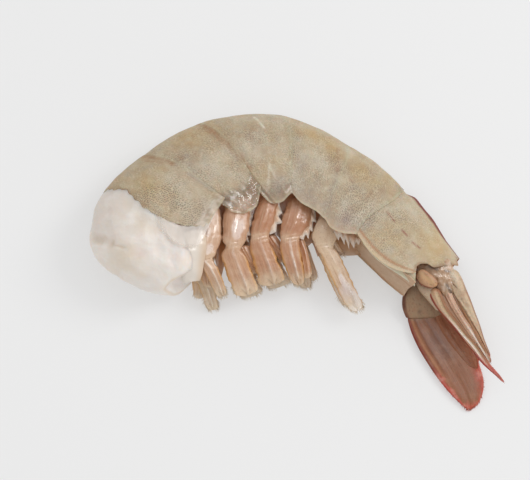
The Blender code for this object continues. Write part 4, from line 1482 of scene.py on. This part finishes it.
print("groove at half length stands", round(float(telson_line(np.array([0.5]))[0]), 2), "across")

# %% Colours of the fan
FAN_BROWN, FAN_VIOLET, FAN_RED = "#8E5838", "#805E50", "#B24A36"
FAN_RIM, FAN_PINK, RIB_BROWN = "#7A2814", "#BA4C3C", "#5E3626"


def blade_tone(q, across, places):
    """Brown, grey-violet in the middle, orange-brown at the right, red rims, pink fringe."""
    fine = waves(places, 1.5, 31)
    rim = smooth(0.70, 0.88, np.abs(across) + 0.12 * fine) * smooth(0.5, 0.7, q)
    rim = np.maximum(rim, smooth(0.90, 0.97, q + 0.03 * fine))
    return mixed(
        FAN_BROWN, ("#97806A", smooth(0.12, 0.03, q) * 0.7),
        (FAN_VIOLET, 0.9 * hill(q, 0.36, 0.2) * hill(across, -0.15, 0.4)),
        ("#AC7350", 0.7 * hill(q, 0.5, 0.22) * smooth(0.1, 0.55, across)),
        (FAN_VIOLET, 0.3 * hill(q, 0.82, 0.12) * hill(across, 0.1, 0.5)),
        (RIB_BROWN, 0.6 * hill(across, -0.57, 0.05) * smooth(0.65, 0.5, q)),
        (RIB_BROWN, 0.5 * hill(across, 0.02, 0.05) * smooth(0.6, 0.4, q)),
        ("#B07A54", 0.6 * hill(across, -0.76, 0.07) * smooth(0.9, 0.5, q)),
        (FAN_RIM, 0.9 * smooth(0.80, 0.90, -across)),
        (FAN_RED, 0.9 * smooth(0.35, 0.9, across + 0.1 * fine) * hill(q, 0.7, 0.2)),
        (FAN_PINK, 0.85 * rim), ("#E0AE9C", 0.5 * rim * np.clip(fine * 1.4, 0, 1)))


def inner_blade_tone(q, across, places):
    """The inner blade on the right: orange-brown, red only at its outer rim."""
    return mixed("#9C6246", (FAN_BROWN, 0.7 * smooth(0.0, -0.9, across)),
                 ("#7E5040", 0.5 * np.clip(waves(places, 1.5, 35), 0, 1)),
                 (FAN_RED, 0.8 * smooth(0.5, 0.95, across) * smooth(0.4, 0.9, q)))


def far_base_tone(q, across, places):
    """Olive grey-brown, darker at the left rim and at the cross joint, with one dark spot."""
    spot = np.linalg.norm(places[:, :2] - (29.4, -12.8), axis=1)
    return mixed("#9C8064", (FAN_BROWN, 0.4 * np.clip(waves(places, 1.8, 33), 0, 1)),
                 ("#5C2E1E", 0.9 * smooth(0.76, 0.88, -across)),
                 ("#5E3828", 0.35 * smooth(0.92, 0.985, q)),
                 ("#5A4A3A", 0.7 * hill(spot, 0.0, 0.5)))


def outer_strip_tone(q, across, places):
    """Cream with a white highlight painted along it, a dark red left rim and a pink tip."""
    fine = waves(places, 1.4, 37)
    return mixed(
        "#C8AC88", (FAN_BROWN, 0.25 * np.clip(fine, 0, 1)),
        # a painted white highlight along the strip
        ("#F2E8E0", 0.95 * hill(across, 0.15, 0.3) * hill(q, 0.55, 0.26)),
        ("#D0685C", 0.9 * hill(across, -0.2, 0.22) * hill(q, 0.6, 0.35)),
        ("#8A2C1E", 0.97 * smooth(0.3, 0.5, -across)),
        ("#8E5C3C", 0.85 * smooth(0.62, 0.85, across) * smooth(0.9, 0.7, q)),
        ("#B87A5A", 0.5 * smooth(0.08, 0.0, q)),
        ("#C85A58", 0.85 * smooth(0.66, 0.88, q + 0.05 * fine)))


def inner_strip_tone(q, across, places):
    """Pinkish tan between brown lines, whiter towards the tip."""
    return mixed("#CFAA90", (FAN_BROWN, 0.25 * np.clip(waves(places, 1.4, 38), 0, 1)),
                 ("#EADCD0", 0.8 * hill(across, 0.2, 0.3) * smooth(0.35, 0.6, q)),
                 ("#A06A44", 0.85 * smooth(0.5, 0.8, -across)),
                 ("#9A6A4C", 0.8 * smooth(0.84, 0.94, across)),
                 (FAN_PINK, 0.5 * smooth(0.8, 1.0, q) * smooth(0.2, 0.6, -across)))


def telson_tone(q, across, places):
    """Pale and speckled above the groove; orange-brown below it as painted shade on that side, and
    the groove painted darker as shade.
    """
    fine = waves(places, 0.9, 41)
    off = across - telson_line(q)
    return mixed(
        "#C8B092", ("#A2846C", 0.7 * np.clip(fine + 0.1, 0, 1)),
        ("#E6DAC6", 0.6 * hill(q, 0.1, 0.08) * hill(across, 0.3, 0.4)),
        # painted shade: the side below the groove is orange-brown
        ("#AC7850", 0.9 * smooth(0.0, 0.15, -off) * smooth(0.25, 0.35, q)),
        ("#B08468", 0.5 * smooth(0.5, 0.8, q)),
        # painted shade: the groove is painted darker
        ("#906444", 0.8 * hill(off, 0.0, 0.10) * smooth(0.2, 0.3, q)),
        ("#6A4630", 0.8 * telson_slit(q, across, 0.09, 0.05)),
        ("#84543E", 0.75 * smooth(0.8, 0.93, across) * smooth(0.1, 0.3, q)),
        ("#B4543E", 0.8 * smooth(0.92, 0.99, q)))


def oval_tone(q, across, places):
    """Peach, yellower in the middle, with a dark red-brown outline at the lower left."""
    return mixed("#BC9270", ("#C6A274", 0.7 * hill(across, 0.1, 0.4)),
                 (FAN_BROWN, 0.25 * np.clip(waves(places, 1.4, 43, 2), 0, 1)),
                 ("#7C4430", 0.9 * smooth(0.74, 0.9, -across)),
                 ("#8A644A", 0.8 * smooth(0.84, 0.95, across)),
                 ("#8A5038", 0.8 * smooth(0.93, 0.99, q)))


def skirt_tone(q, across, places):
    """The pale skin that runs from the oval down to the outer strip."""
    return mixed("#BCA48A", ("#A88C70", 0.5 * smooth(0.7, 0.95, -across)))


print("fan brown", linear(FAN_BROWN).round(2))

# %% Edges of the fan
# rows: left x, y, z, right x, y, z, thickness in mm, from the base to the tip
FAN = {
    "uropod_right_inner": (
        (32.4, -10.7, 2.4, 34.9, -9.6, 2.4, 0.9), (33.4, -14.8, 2.2, 38, -12.8, 2.3, 0.8),
        (35.7, -19.5, 2.0, 40.8, -17.2, 2.1, 0.7), (38.2, -22.9, 1.8, 42.4, -20.9, 1.9, 0.6),
        (40.2, -25.3, 1.6, 42.9, -23.8, 1.7, 0.5), (41.8, -26.4, 1.5, 42.8, -25.9, 1.5, 0.4)),
    "uropod_right_outer": (
        (26.7, -13.3, 1.5, 33.4, -11.4, 1.9, 1), (26.8, -14.7, 1.4, 34.5, -13.1, 1.8, 1.1),
        (27.6, -17.6, 1.3, 37, -16, 1.7, 1.2), (29.1, -21.2, 1.2, 39.6, -19.2, 1.6, 1.2),
        (31.2, -25, 1.1, 41.8, -22.3, 1.5, 1.1), (33.5, -28.6, 1, 43, -25.1, 1.3, 1),
        (35.9, -31.7, 0.9, 43.8, -28.9, 1.1, 0.9), (37.9, -33.8, 0.8, 43.4, -31.9, 0.9, 0.8),
        (39.3, -35.1, 0.6, 42.3, -34.1, 0.7, 0.6), (40.1, -35.6, 0.5, 40.6, -35.5, 0.5, 0.5)),
    "uropod_right_base": (
        (28, -4.7, 4.6, 32.5, -2.6, 5, 1.8), (26.3, -6.9, 3.9, 33.6, -5.1, 4.4, 2.4),
        (25.5, -9.1, 3.2, 34.5, -7.9, 3.8, 2.6), (25.4, -11.2, 2.6, 35, -10.3, 3, 2.4),
        (25.9, -12.9, 2, 34.9, -12.6, 2.4, 1.9), (26.6, -14.3, 1.6, 34.5, -13.9, 1.9, 1.3)),
    "telson": (
        (34.4, -3.6, 6.9, 37.4, -3.8, 8.6, 2.6), (35.7, -6.3, 6.9, 38.7, -5.9, 8.4, 3.2),
        (36.6, -8.9, 6.9, 39.9, -8.9, 8, 3.2), (37.6, -11.3, 6.7, 40.9, -11.5, 7.6, 3),
        (38.8, -13.9, 6.5, 41.8, -14.2, 7.2, 2.7), (40.2, -16.7, 6.2, 42.8, -17.1, 6.8, 2.3),
        (41.8, -19.8, 5.9, 43.6, -20.1, 6.4, 1.9), (43.3, -22.3, 5.5, 44.5, -22.7, 5.9, 1.4),
        (44.6, -24.3, 5, 45.1, -24.5, 5.4, 0.8)),
    "uropod_left_inner": (
        (34.2, -8.5, 7.2, 36.3, -8.6, 7.8, 1.4), (35.1, -10.6, 7.0, 37.1, -10.9, 7.6, 1.4),
        (36.2, -12.9, 6.8, 38.3, -13.4, 7.3, 1.4), (37.9, -15.7, 6.4, 39.9, -16, 6.9, 1.3),
        (39.9, -18.8, 5.9, 41.7, -18.7, 6.5, 1.2), (41.8, -21.6, 5.4, 43.3, -21.6, 6.1, 1.0),
        (43.6, -24.1, 4.8, 44.7, -24.2, 5.8, 0.7), (44.7, -25.5, 4.7, 45.2, -25.5, 5.3, 0.5)),
    "uropod_left_outer": (
        (30.8, -8.4, 6.6, 33.5, -8.3, 8.1, 1.4), (31.6, -10.3, 6.3, 34.3, -10.8, 7.9, 1.5),
        (33, -12.4, 6, 35.2, -13, 7.6, 1.5), (34.8, -14.6, 5.7, 36.3, -14.7, 7.2, 1.4),
        (36.7, -16.9, 5.4, 37.9, -16.7, 6.8, 1.3), (38.5, -19.3, 5.1, 39.7, -19.1, 6.3, 1.1),
        (40.5, -21.9, 4.9, 41.7, -21.6, 6.2, 0.9), (42, -24.2, 4.7, 43.7, -24.5, 5.8, 0.8),
        (43.8, -26.2, 4.6, 45.2, -26.6, 5.4, 0.7), (46, -28.2, 4.5, 46.6, -28.2, 5.1, 0.6),
        (47.7, -30, 4.5, 48, -30.1, 4.8, 0.3)),
    "uropod_left_base": (
        (28.2, -5.5, 8.4, 28.7, -4.4, 9, 1.6), (28.4, -6.6, 8.4, 29.9, -4.3, 9.2, 2.0),
        (29.1, -7.7, 8.3, 31.2, -5, 9.2, 2.2), (30.5, -8.4, 8.2, 32.4, -6.1, 9.1, 2.2),
        (31.9, -8.6, 8.2, 33.1, -7.1, 9, 2.0), (32.8, -8.2, 8.3, 33.3, -7.8, 8.8, 1.6)),
}
# in the same way: the pale skirt of the oval base, and the joint skin at the tail's root
SKIRT = ((27.7, -4, 7, 30.5, -3.4, 7.4, 1), (28.1, -6.1, 6.8, 31.6, -6.3, 7.3, 1.2),
         (29, -8.5, 6.6, 32.5, -8.7, 7.1, 1.2), (30.5, -10.4, 6.3, 33.4, -10.3, 6.9, 1.1),
         (31.9, -12, 6, 34, -11.9, 6.6, 0.9), (33.1, -13.5, 5.8, 34.5, -13.1, 6.3, 0.6))
TISSUE = ((27.6, -2.4, 7.4, 36.0, -0.8, 8.2, 2.8), (28.2, -4.4, 7.2, 36.8, -2.8, 8.2, 3.2),
          (32.2, -7.0, 7.0, 37.6, -5.6, 7.9, 3.0), (34.0, -9.4, 6.8, 37.6, -8.4, 7.4, 2.6),
          (35.2, -10.8, 6.4, 37.2, -10.2, 6.8, 1.6))
FAN_GRID = (72, 110)          # faces around and along
# ends, squareness, relief, colours, clear tip, and the fringe: from where, bristles, length
FAN_RULES = {
    "uropod_right_inner": ((0.1, 0.12), 0.9, strip_relief, inner_blade_tone, 0, ()),
    "uropod_right_outer": ((0.02, 0.02), 0.9, blade_relief, blade_tone, 0, (0.55, 260, 0.6)),
    "uropod_right_base": ((0.12, 0.06), 0.9, smooth_relief, far_base_tone, 0, ()),
    "telson": ((0.06, 0.05), 0.9, telson_relief, telson_tone, 0, ()),
    "uropod_left_inner": ((0.06, 0.04), 0.9, strip_relief, inner_strip_tone, 0.1, (0.8, 24, 0.5)),
    "uropod_left_outer": ((0.05, 0.03), 0.9, strip_relief, outer_strip_tone, 0.1, (0.8, 40, 0.5)),
    "uropod_left_base": ((0.12, 0.14), 0.6, smooth_relief, oval_tone, 0, ()),
}
print(len(FAN), "pieces in the fan")

# %% Make the tail fan
def make_fan_piece(name):
    """One stiff piece of the tail fan with its fringe."""
    edges = FAN[name]
    ends, square, shape, tone, clear, bristles = FAN_RULES[name]
    piece, q = limb(name + "_chitin", edges, ends, *FAN_GRID, square, shape, tone, 0.02)
    paint(piece, clear=clear * smooth(0.5, 1.0, q))
    parts = [piece]
    if bristles:
        parts.append(fringe(name + "_fringe", edges, ends, *bristles, 0.05, "#C0665A", len(name)))
    if name == "uropod_left_base":
        skirt, _ = limb("skirt", SKIRT, (0.1, 0.05), 40, 60, 0.9, smooth_relief, skirt_tone)
        paint(skirt, clear=0.0)
        parts.append(skirt)
    return hand_in(join(name + "_chitin", parts), FAN_LOOK, "tail_fan", name)


FAN_PIECES = [make_fan_piece(name) for name in FAN]
print("fan faces", [len(piece.data.polygons) for piece in FAN_PIECES])

# %% [markdown]
# ## Joint skin at the tail's root
# Between segment 6, the telson and the oval base lies soft, lumpy joint skin with whitish
# films, painted as whitish patches that also stand for its wet glints. It is one more limb, so
# that it closes at both ends, with its own relief and spots.

# %% Make the joint skin
# dark spots: x, y to x, y in mm, and reach
TISSUE_SPOTS = (((31.4, -3.7, 33.0, -4.4), 0.4), ((34.7, -3.4, 35.0, -3.5), 0.35),
                ((35.3, -8.0, 36.4, -9.8), 0.45), ((35.0, -4.6, 36.0, -4.9), 0.3))


def lumps(q, across):
    """Small wet lumps."""
    return 0.10 * np.sin(across * 9 + q * 7) * np.sin(q * 31 + across * 3)


def tissue_tone(q, across, places):
    """Pinkish joint skin with whitish films, whose patches also stand for painted glints, and dark
    spots.
    """
    fine = waves(places, 1.0, 47)
    # whitish patches: the skin's films, and painted glints on them
    tones = mixed("#B69474", ("#DCCBBC", 0.5 * np.clip(fine * 1.6, 0, 1)),
                  ("#8E6448", 0.6 * np.clip(-fine * 1.5, 0, 1)))
    for spot, reach in TISSUE_SPOTS:
        far = distance_to_line(places[:, :2], np.array(spot[:2]), np.array(spot[2:]))
        tones = mixed(tones, ("#54422F", 0.9 * hill(far, 0.0, reach)))
    return tones


JOINT_SKIN, _ = limb("tail_joint_skin", TISSUE, (0.1, 0.1), 72, 80, 0.9, lumps, tissue_tone, 0.1)
paint(JOINT_SKIN, clear=0.0, wet=0.4)
hand_in(JOINT_SKIN, LEG_LOOK, "flesh")
print("joint skin faces", len(JOINT_SKIN.data.polygons))

# %% [markdown]
# ## Films of wet skin
# A clear film hangs from the first plate's hem over the flesh and ties to the first leg. It
# is hardly seen but for its sharp white glints and its folds. Behind it a whitish skin closes
# the gap between the flesh and the leg. Both are sheets between two rails with a small real
# thickness, which is the simplest true form of a film.

# %% The film between flesh and first leg
FILM_TOP = ((-33.3, 8.1, 14.9), (-30.2, 6.0, 15.1), (-27.2, 4.6, 14.8), (-24.0, 4.4, 14.2),
            (-21.4, 5.3, 13.6), (-19.0, 8.6, 13.0))
FILM_BOTTOM = ((-32.0, 4.6, 15.5), (-29.2, 0.8, 15.8), (-26.2, -1.4, 15.9),
               (-23.4, -1.9, 15.2), (-21.2, 0.6, 13.8), (-18.4, 7.8, 12.6))
SKIN_LEG = ((-20.8, 4.2, 13.0), (-20.4, 1.7, 12.2), (-20.4, -0.5, 11.6), (-20.9, -3.0, 10.6),
            (-21.3, -5.4, 9.4), (-21.9, -6.8, 8.4))
SKIN_FLESH = ((-26.4, 2.8, 13.0), (-26.6, -0.6, 14.0), (-26.6, -3.6, 14.5),
              (-26.4, -5.4, 13.2), (-26.0, -6.6, 10.6), (-25.6, -7.6, 7.6))


# A wet film: nearly clear, seen only by the mirror-like glints of its coat.
def make_film_look():
    """A coat over a painted tone, as clear as the piece is painted."""
    material, tree, shader = new_material(
        "wet_skin_film", Roughness=0.25, IOR=1.4, Coat_Weight=0.8, Coat_Roughness=0.08)
    tree.links.new(add(tree, "Attribute", (), "Color", attribute_name="tone"),
                   shader.inputs["Base Color"])
    clear = add(tree, "Attribute", (), "Fac", attribute_name="clear")
    tree.links.new(add(tree, "Math", (1.0, clear), operation="SUBTRACT"), shader.inputs["Alpha"])
    where = add(tree, "TexCoord", (), "Object")
    crease = add(tree, "TexNoise", {"Vector": where, **noise_of(1.2, 3.0, 0.5)})
    bump = add(tree, "Bump", {"Height": crease, "Distance": 0.12 * MM, "Strength": 1.0})
    tree.links.new(bump, shader.inputs["Normal"])
    return material


def film_folds(a, b):
    """Folds that fan out from the film's first corner."""
    x = a * 3.2 - b * 0.35
    ridges = 0.5 * (1 - np.abs(2 * (x % 1) - 1)) ** 2.5 * (0.15 + 0.85 * b)
    return ridges + 0.07 * np.sin(a * 43 + b * 3) + 0.2 * np.sin(math.pi * b)


FILM_LOOK = make_film_look()


def make_film():
    """The clear film, clearest where it ends."""
    film, a, b = sheet("shell_film", FILM_TOP, FILM_BOTTOM, 110, 40, None, film_folds)
    ends = np.maximum(smooth(0.7, 1.0, b), smooth(0.25, 0.0, a))
    finish_sheet(film, linear("#F6EEE6"), 0.08, 0.08, np.ones(len(a)), clear=0.58 + 0.42 * ends)
    return hand_in(film, FILM_LOOK, "flesh")


def make_leg_skin():
    """The whitish skin that closes the gap between the flesh and the first left leg."""
    def bulge(a, b):
        folds = 0.16 * np.sin(a * 17 + 5 * b) * np.sin(math.pi * b)
        return folds + 0.7 * np.sin(math.pi * b)

    skin, _, b = sheet("flesh_leg_skin", SKIN_LEG, SKIN_FLESH, 90, 50, None, bulge)
    finish_sheet(skin, mixed("#E6DCD0", ("#D8BC9E", 0.8 * smooth(0.4, 0.0, b))),
                 0.2, 0.08, smooth(1.0, 0.6, b), clear=0.05 + 0.3 * smooth(0.75, 1.0, b))
    return hand_in(skin, FILM_LOOK, "flesh")


FILMS = [make_film(), make_leg_skin()]
print("film faces", [len(piece.data.polygons) for piece in FILMS])

# %% [markdown]
# ## The pale corner of segment 6
# The hem of segment 6 ends below in a pale corner of thin shell that runs to the tail's base.
# It is a sheet as well, with the shell's own look, so that it seems to grow out of the plate.

# %% Make the corner
CORNER_TOP = ((16.1, 1.6, 12.5), (18.3, -1.1, 12.5), (20.8, -3.0, 12.3), (23.6, -4.1, 12.0),
              (25.6, -4.5, 11.6), (28.0, -4.6, 11.0))
CORNER_BOTTOM = ((15.9, 1.0, 12.2), (18.1, -1.9, 11.9), (20.8, -4.2, 11.6), (23.4, -5.8, 11.1),
                 (25.6, -7.2, 10.5), (27.8, -8.6, 9.5))


def make_corner():
    """The thin skin below the hem of segment 6."""
    def lift(a, b):
        return 0.3 * np.sin(math.pi * b)

    corner, _, b = sheet("shell_6_corner", CORNER_TOP, CORNER_BOTTOM, 60, 30, None, lift)
    paint_flow(corner, corners(corner) / MM)
    finish_sheet(corner, mixed("#CDBFA2", ("#E2D8C2", 0.7 * smooth(0.8, 0.95, b))),
                 0.25, 0.08, smooth(1.0, 0.5, b), dots=0.0, thin=0.2)
    return hand_in(corner, SHELL_LOOK, "shell")


CORNER = make_corner()
print("corner faces", len(CORNER.data.polygons))

# %% [markdown]
# ## Belly skin
# Below, the shell is open. Thin brown skin closes segment 6 from hem to hem, joins the hips
# of the legs and fills the slit between the telson and the blades on edge. The first follows
# the chart, the others are sheets between two rails, sunk a little into what they join.

# %% Skin below segment 6
def make_tail_belly():
    """The thin brown skin below segment 6, from the near hem to the far one."""
    def place(p, q):
        share = 0.02 + 0.98 * (q + 1) / 2
        s, hang = hem_line(6, share)
        s = s + smooth(0.75, 1.0, share) * (0.06 + 0.04 * smooth(-0.2, 0.9, p))
        kept_hang = LOWER_LOBE * 0.9 + (0.45 - LOWER_LOBE * 0.9) * smooth(-0.6, 1.0, p)
        kept_hang *= 1 - 0.4 * smooth(0.7, 1.0, share) * smooth(0.4, -0.6, p)
        low = station(s)[:, HEIGHT] / 2 + np.maximum(hang, 0.8) * kept_hang
        u, v = side_path(s, np.ones_like(s), 0.45, low + 0.15 * np.cos(p * math.pi / 2))
        return body_points(s, u * p, v)

    skin, p, q = wrapped_grid("belly_skin_6", 50, 90, place)
    fine = waves(corners(skin) / MM, 1.8, 71)
    tones = mixed("#B8987A", ("#CDB294", 0.5 * np.clip(fine, 0, 1)),
                  ("#A07048", 0.5 * hill(p, 0.15 + 0.2 * q, 0.06)),
                  ("#A87648", 0.6 * smooth(-0.75, -0.95, p)))
    finish_sheet(skin, tones, 0.2, 0.1, np.ones(len(p)), clear=0.0, wet=0.2)
    return hand_in(skin, LEG_LOOK, "flesh")


TAIL_SKIN = make_tail_belly()
print("belly skin faces", len(TAIL_SKIN.data.polygons))

# %% Skin between the legs
WEB_TOP = ((-20.0, 12.0, 8.8), (-16.0, 14.6, 9.0), (-11.0, 15.6, 9.0), (-5.5, 15.8, 9.0),
           (1.0, 15.0, 8.8), (7.5, 12.0, 8.4), (17.0, 5.5, 7.2))
WEB_BOTTOM = ((-20.6, -2.5, 6.2), (-16.6, -6.8, 6.0), (-12.0, -2.0, 6.2), (-6.0, 0.8, 6.2),
              (0.5, 1.0, 6.0), (6.5, -0.3, 5.6), (16.5, 0.4, 5.2))


def make_web():
    """The skin that joins the bases of the swimming legs below the belly."""
    def lift(a, b):
        return 0.5 * np.sin(a * 38) * b

    teeth = torn(12, 5, 0.75)

    def reach(a):
        return teeth(a) + (0.95 - teeth(a)) * smooth(0.80, 0.92, a)

    web, a, b = sheet("belly_skin_legs", WEB_TOP, WEB_BOTTOM, 150, 40, reach, lift)
    fine = waves(corners(web) / MM, 1.6, 73)
    low = smooth(0.6, 1.0, b)
    tones = mixed("#CC8C5C", ("#AC7048", 0.6 * np.clip(fine, 0, 1)), ("#D0A480", 0.6 * low),
                  ("#B8906A", 0.85 * smooth(0.78, 0.92, a)))
    finish_sheet(web, tones, 0.3, 0.1, smooth(1.0, 0.5, b), clear=0.5 * low, wet=0.3)
    return hand_in(web, LEG_LOOK, "flesh")


WEB = make_web()
print("skin between the legs, faces", len(WEB.data.polygons))

# %% Skin beside the telson
BLADE_RAIL = ((32.2, -9.0, 6.9), (34.4, -13.0, 6.6), (37.2, -17.6, 6.0), (41.0, -22.6, 5.4),
              (43.6, -25.2, 5.0))
TELSON_RAIL = ((37.2, -7.0, 7.9), (39.2, -12.0, 7.5), (41.6, -17.6, 6.7), (43.9, -22.2, 5.9),
               (44.9, -24.2, 5.4))


def make_fan_skin():
    """The brown skin between the blades that stand on edge and the telson."""
    skin, _, b = sheet("tail_blade_skin", BLADE_RAIL, TELSON_RAIL, 60, 30)
    # the darker line down the middle is shade painted into the slit
    finish_sheet(skin, mixed("#BA9070", ("#8A5A3C", 0.4 * hill(b, 0.5, 0.15))), 0.4, 0.2,
                 np.ones(len(b)), clear=0.0, wet=0.2)
    return hand_in(skin, LEG_LOOK, "flesh")


FAN_SKIN = make_fan_skin()
print("skin beside the telson, faces", len(FAN_SKIN.data.polygons))

# %% [markdown]
# ## The floor and the light
# The photograph stands on white card under broad soft light, mostly from an even pale sky.
# One large weak lamp to the upper right gives the faint shadows at the lower left, and a
# small lamp that only glossy surfaces see gives the wet glints.

# %% Floor, sky and lamp
FLOOR_SIZE = 4000             # mm
CARD_TONE, CARD_GLOW = 0.42, 0.42       # what the card gives back, and its glow from below
SKY_STRENGTH = 0.77
# lamps: direction, distance in metres, side in mm, power in watts
BROAD_LAMP = ((0.72, 0.24, 0.66), 0.9, 420, 2.7)
GLINT_LAMP = ((0.22, 0.24, 0.93), 0.9, 340, 4.2)


def make_floor():
    """A wide sheet of pale card at the height of zero, lit from below as in a light tent."""
    select_none()
    bpy.ops.mesh.primitive_plane_add(size=FLOOR_SIZE * MM, location=(0, 0, 0))
    floor = bpy.context.object
    floor.name = "floor"
    # matt card gives a flat, even pale ground with no reflections
    card, _, _ = new_material(
        "matt_card", Roughness=0.7, IOR=1.45, Specular_IOR_Level=0.2,
        Base_Color=(CARD_TONE, CARD_TONE, CARD_TONE, 1), Emission_Color=(1.0, 1.0, 1.0, 1),
        Emission_Strength=CARD_GLOW)
    floor.data.materials.append(card)
    return floor


def make_lamp(name, direction, distance, side, power):
    """A square lamp that looks at the shrimp."""
    place = Vector(direction) * distance
    lamp_data = bpy.data.lights.new(name, "AREA")
    lamp_data.shape = "SQUARE"
    lamp_data.size = side * MM
    lamp_data.energy = power
    lamp = bpy.data.objects.new(name, lamp_data)
    bpy.context.scene.collection.objects.link(lamp)
    lamp.location = place
    lamp.rotation_mode = "QUATERNION"
    lamp.rotation_quaternion = place.to_track_quat("Z", "Y")
    return lamp


def make_light():
    """The pale sky, one broad lamp and the lamp for glints."""
    world = bpy.data.worlds.new("pale_sky")
    world.use_nodes = True
    sky = world.node_tree.nodes["Background"]
    sky.inputs["Color"].default_value = (1.0, 1.0, 1.0, 1)
    sky.inputs["Strength"].default_value = SKY_STRENGTH
    bpy.context.scene.world = world
    make_lamp("broad_lamp", *BROAD_LAMP)
    make_lamp("glint_lamp", *GLINT_LAMP).visible_diffuse = False


make_floor()
make_light()
bpy.context.scene.view_settings.view_transform = "Standard"
print("light ready")

# %% [markdown]
# ## The last update
# The dressed shrimp should keep the CAD model's size. The view layer is updated once more.

# %% Update the view layer
bpy.context.view_layer.update()
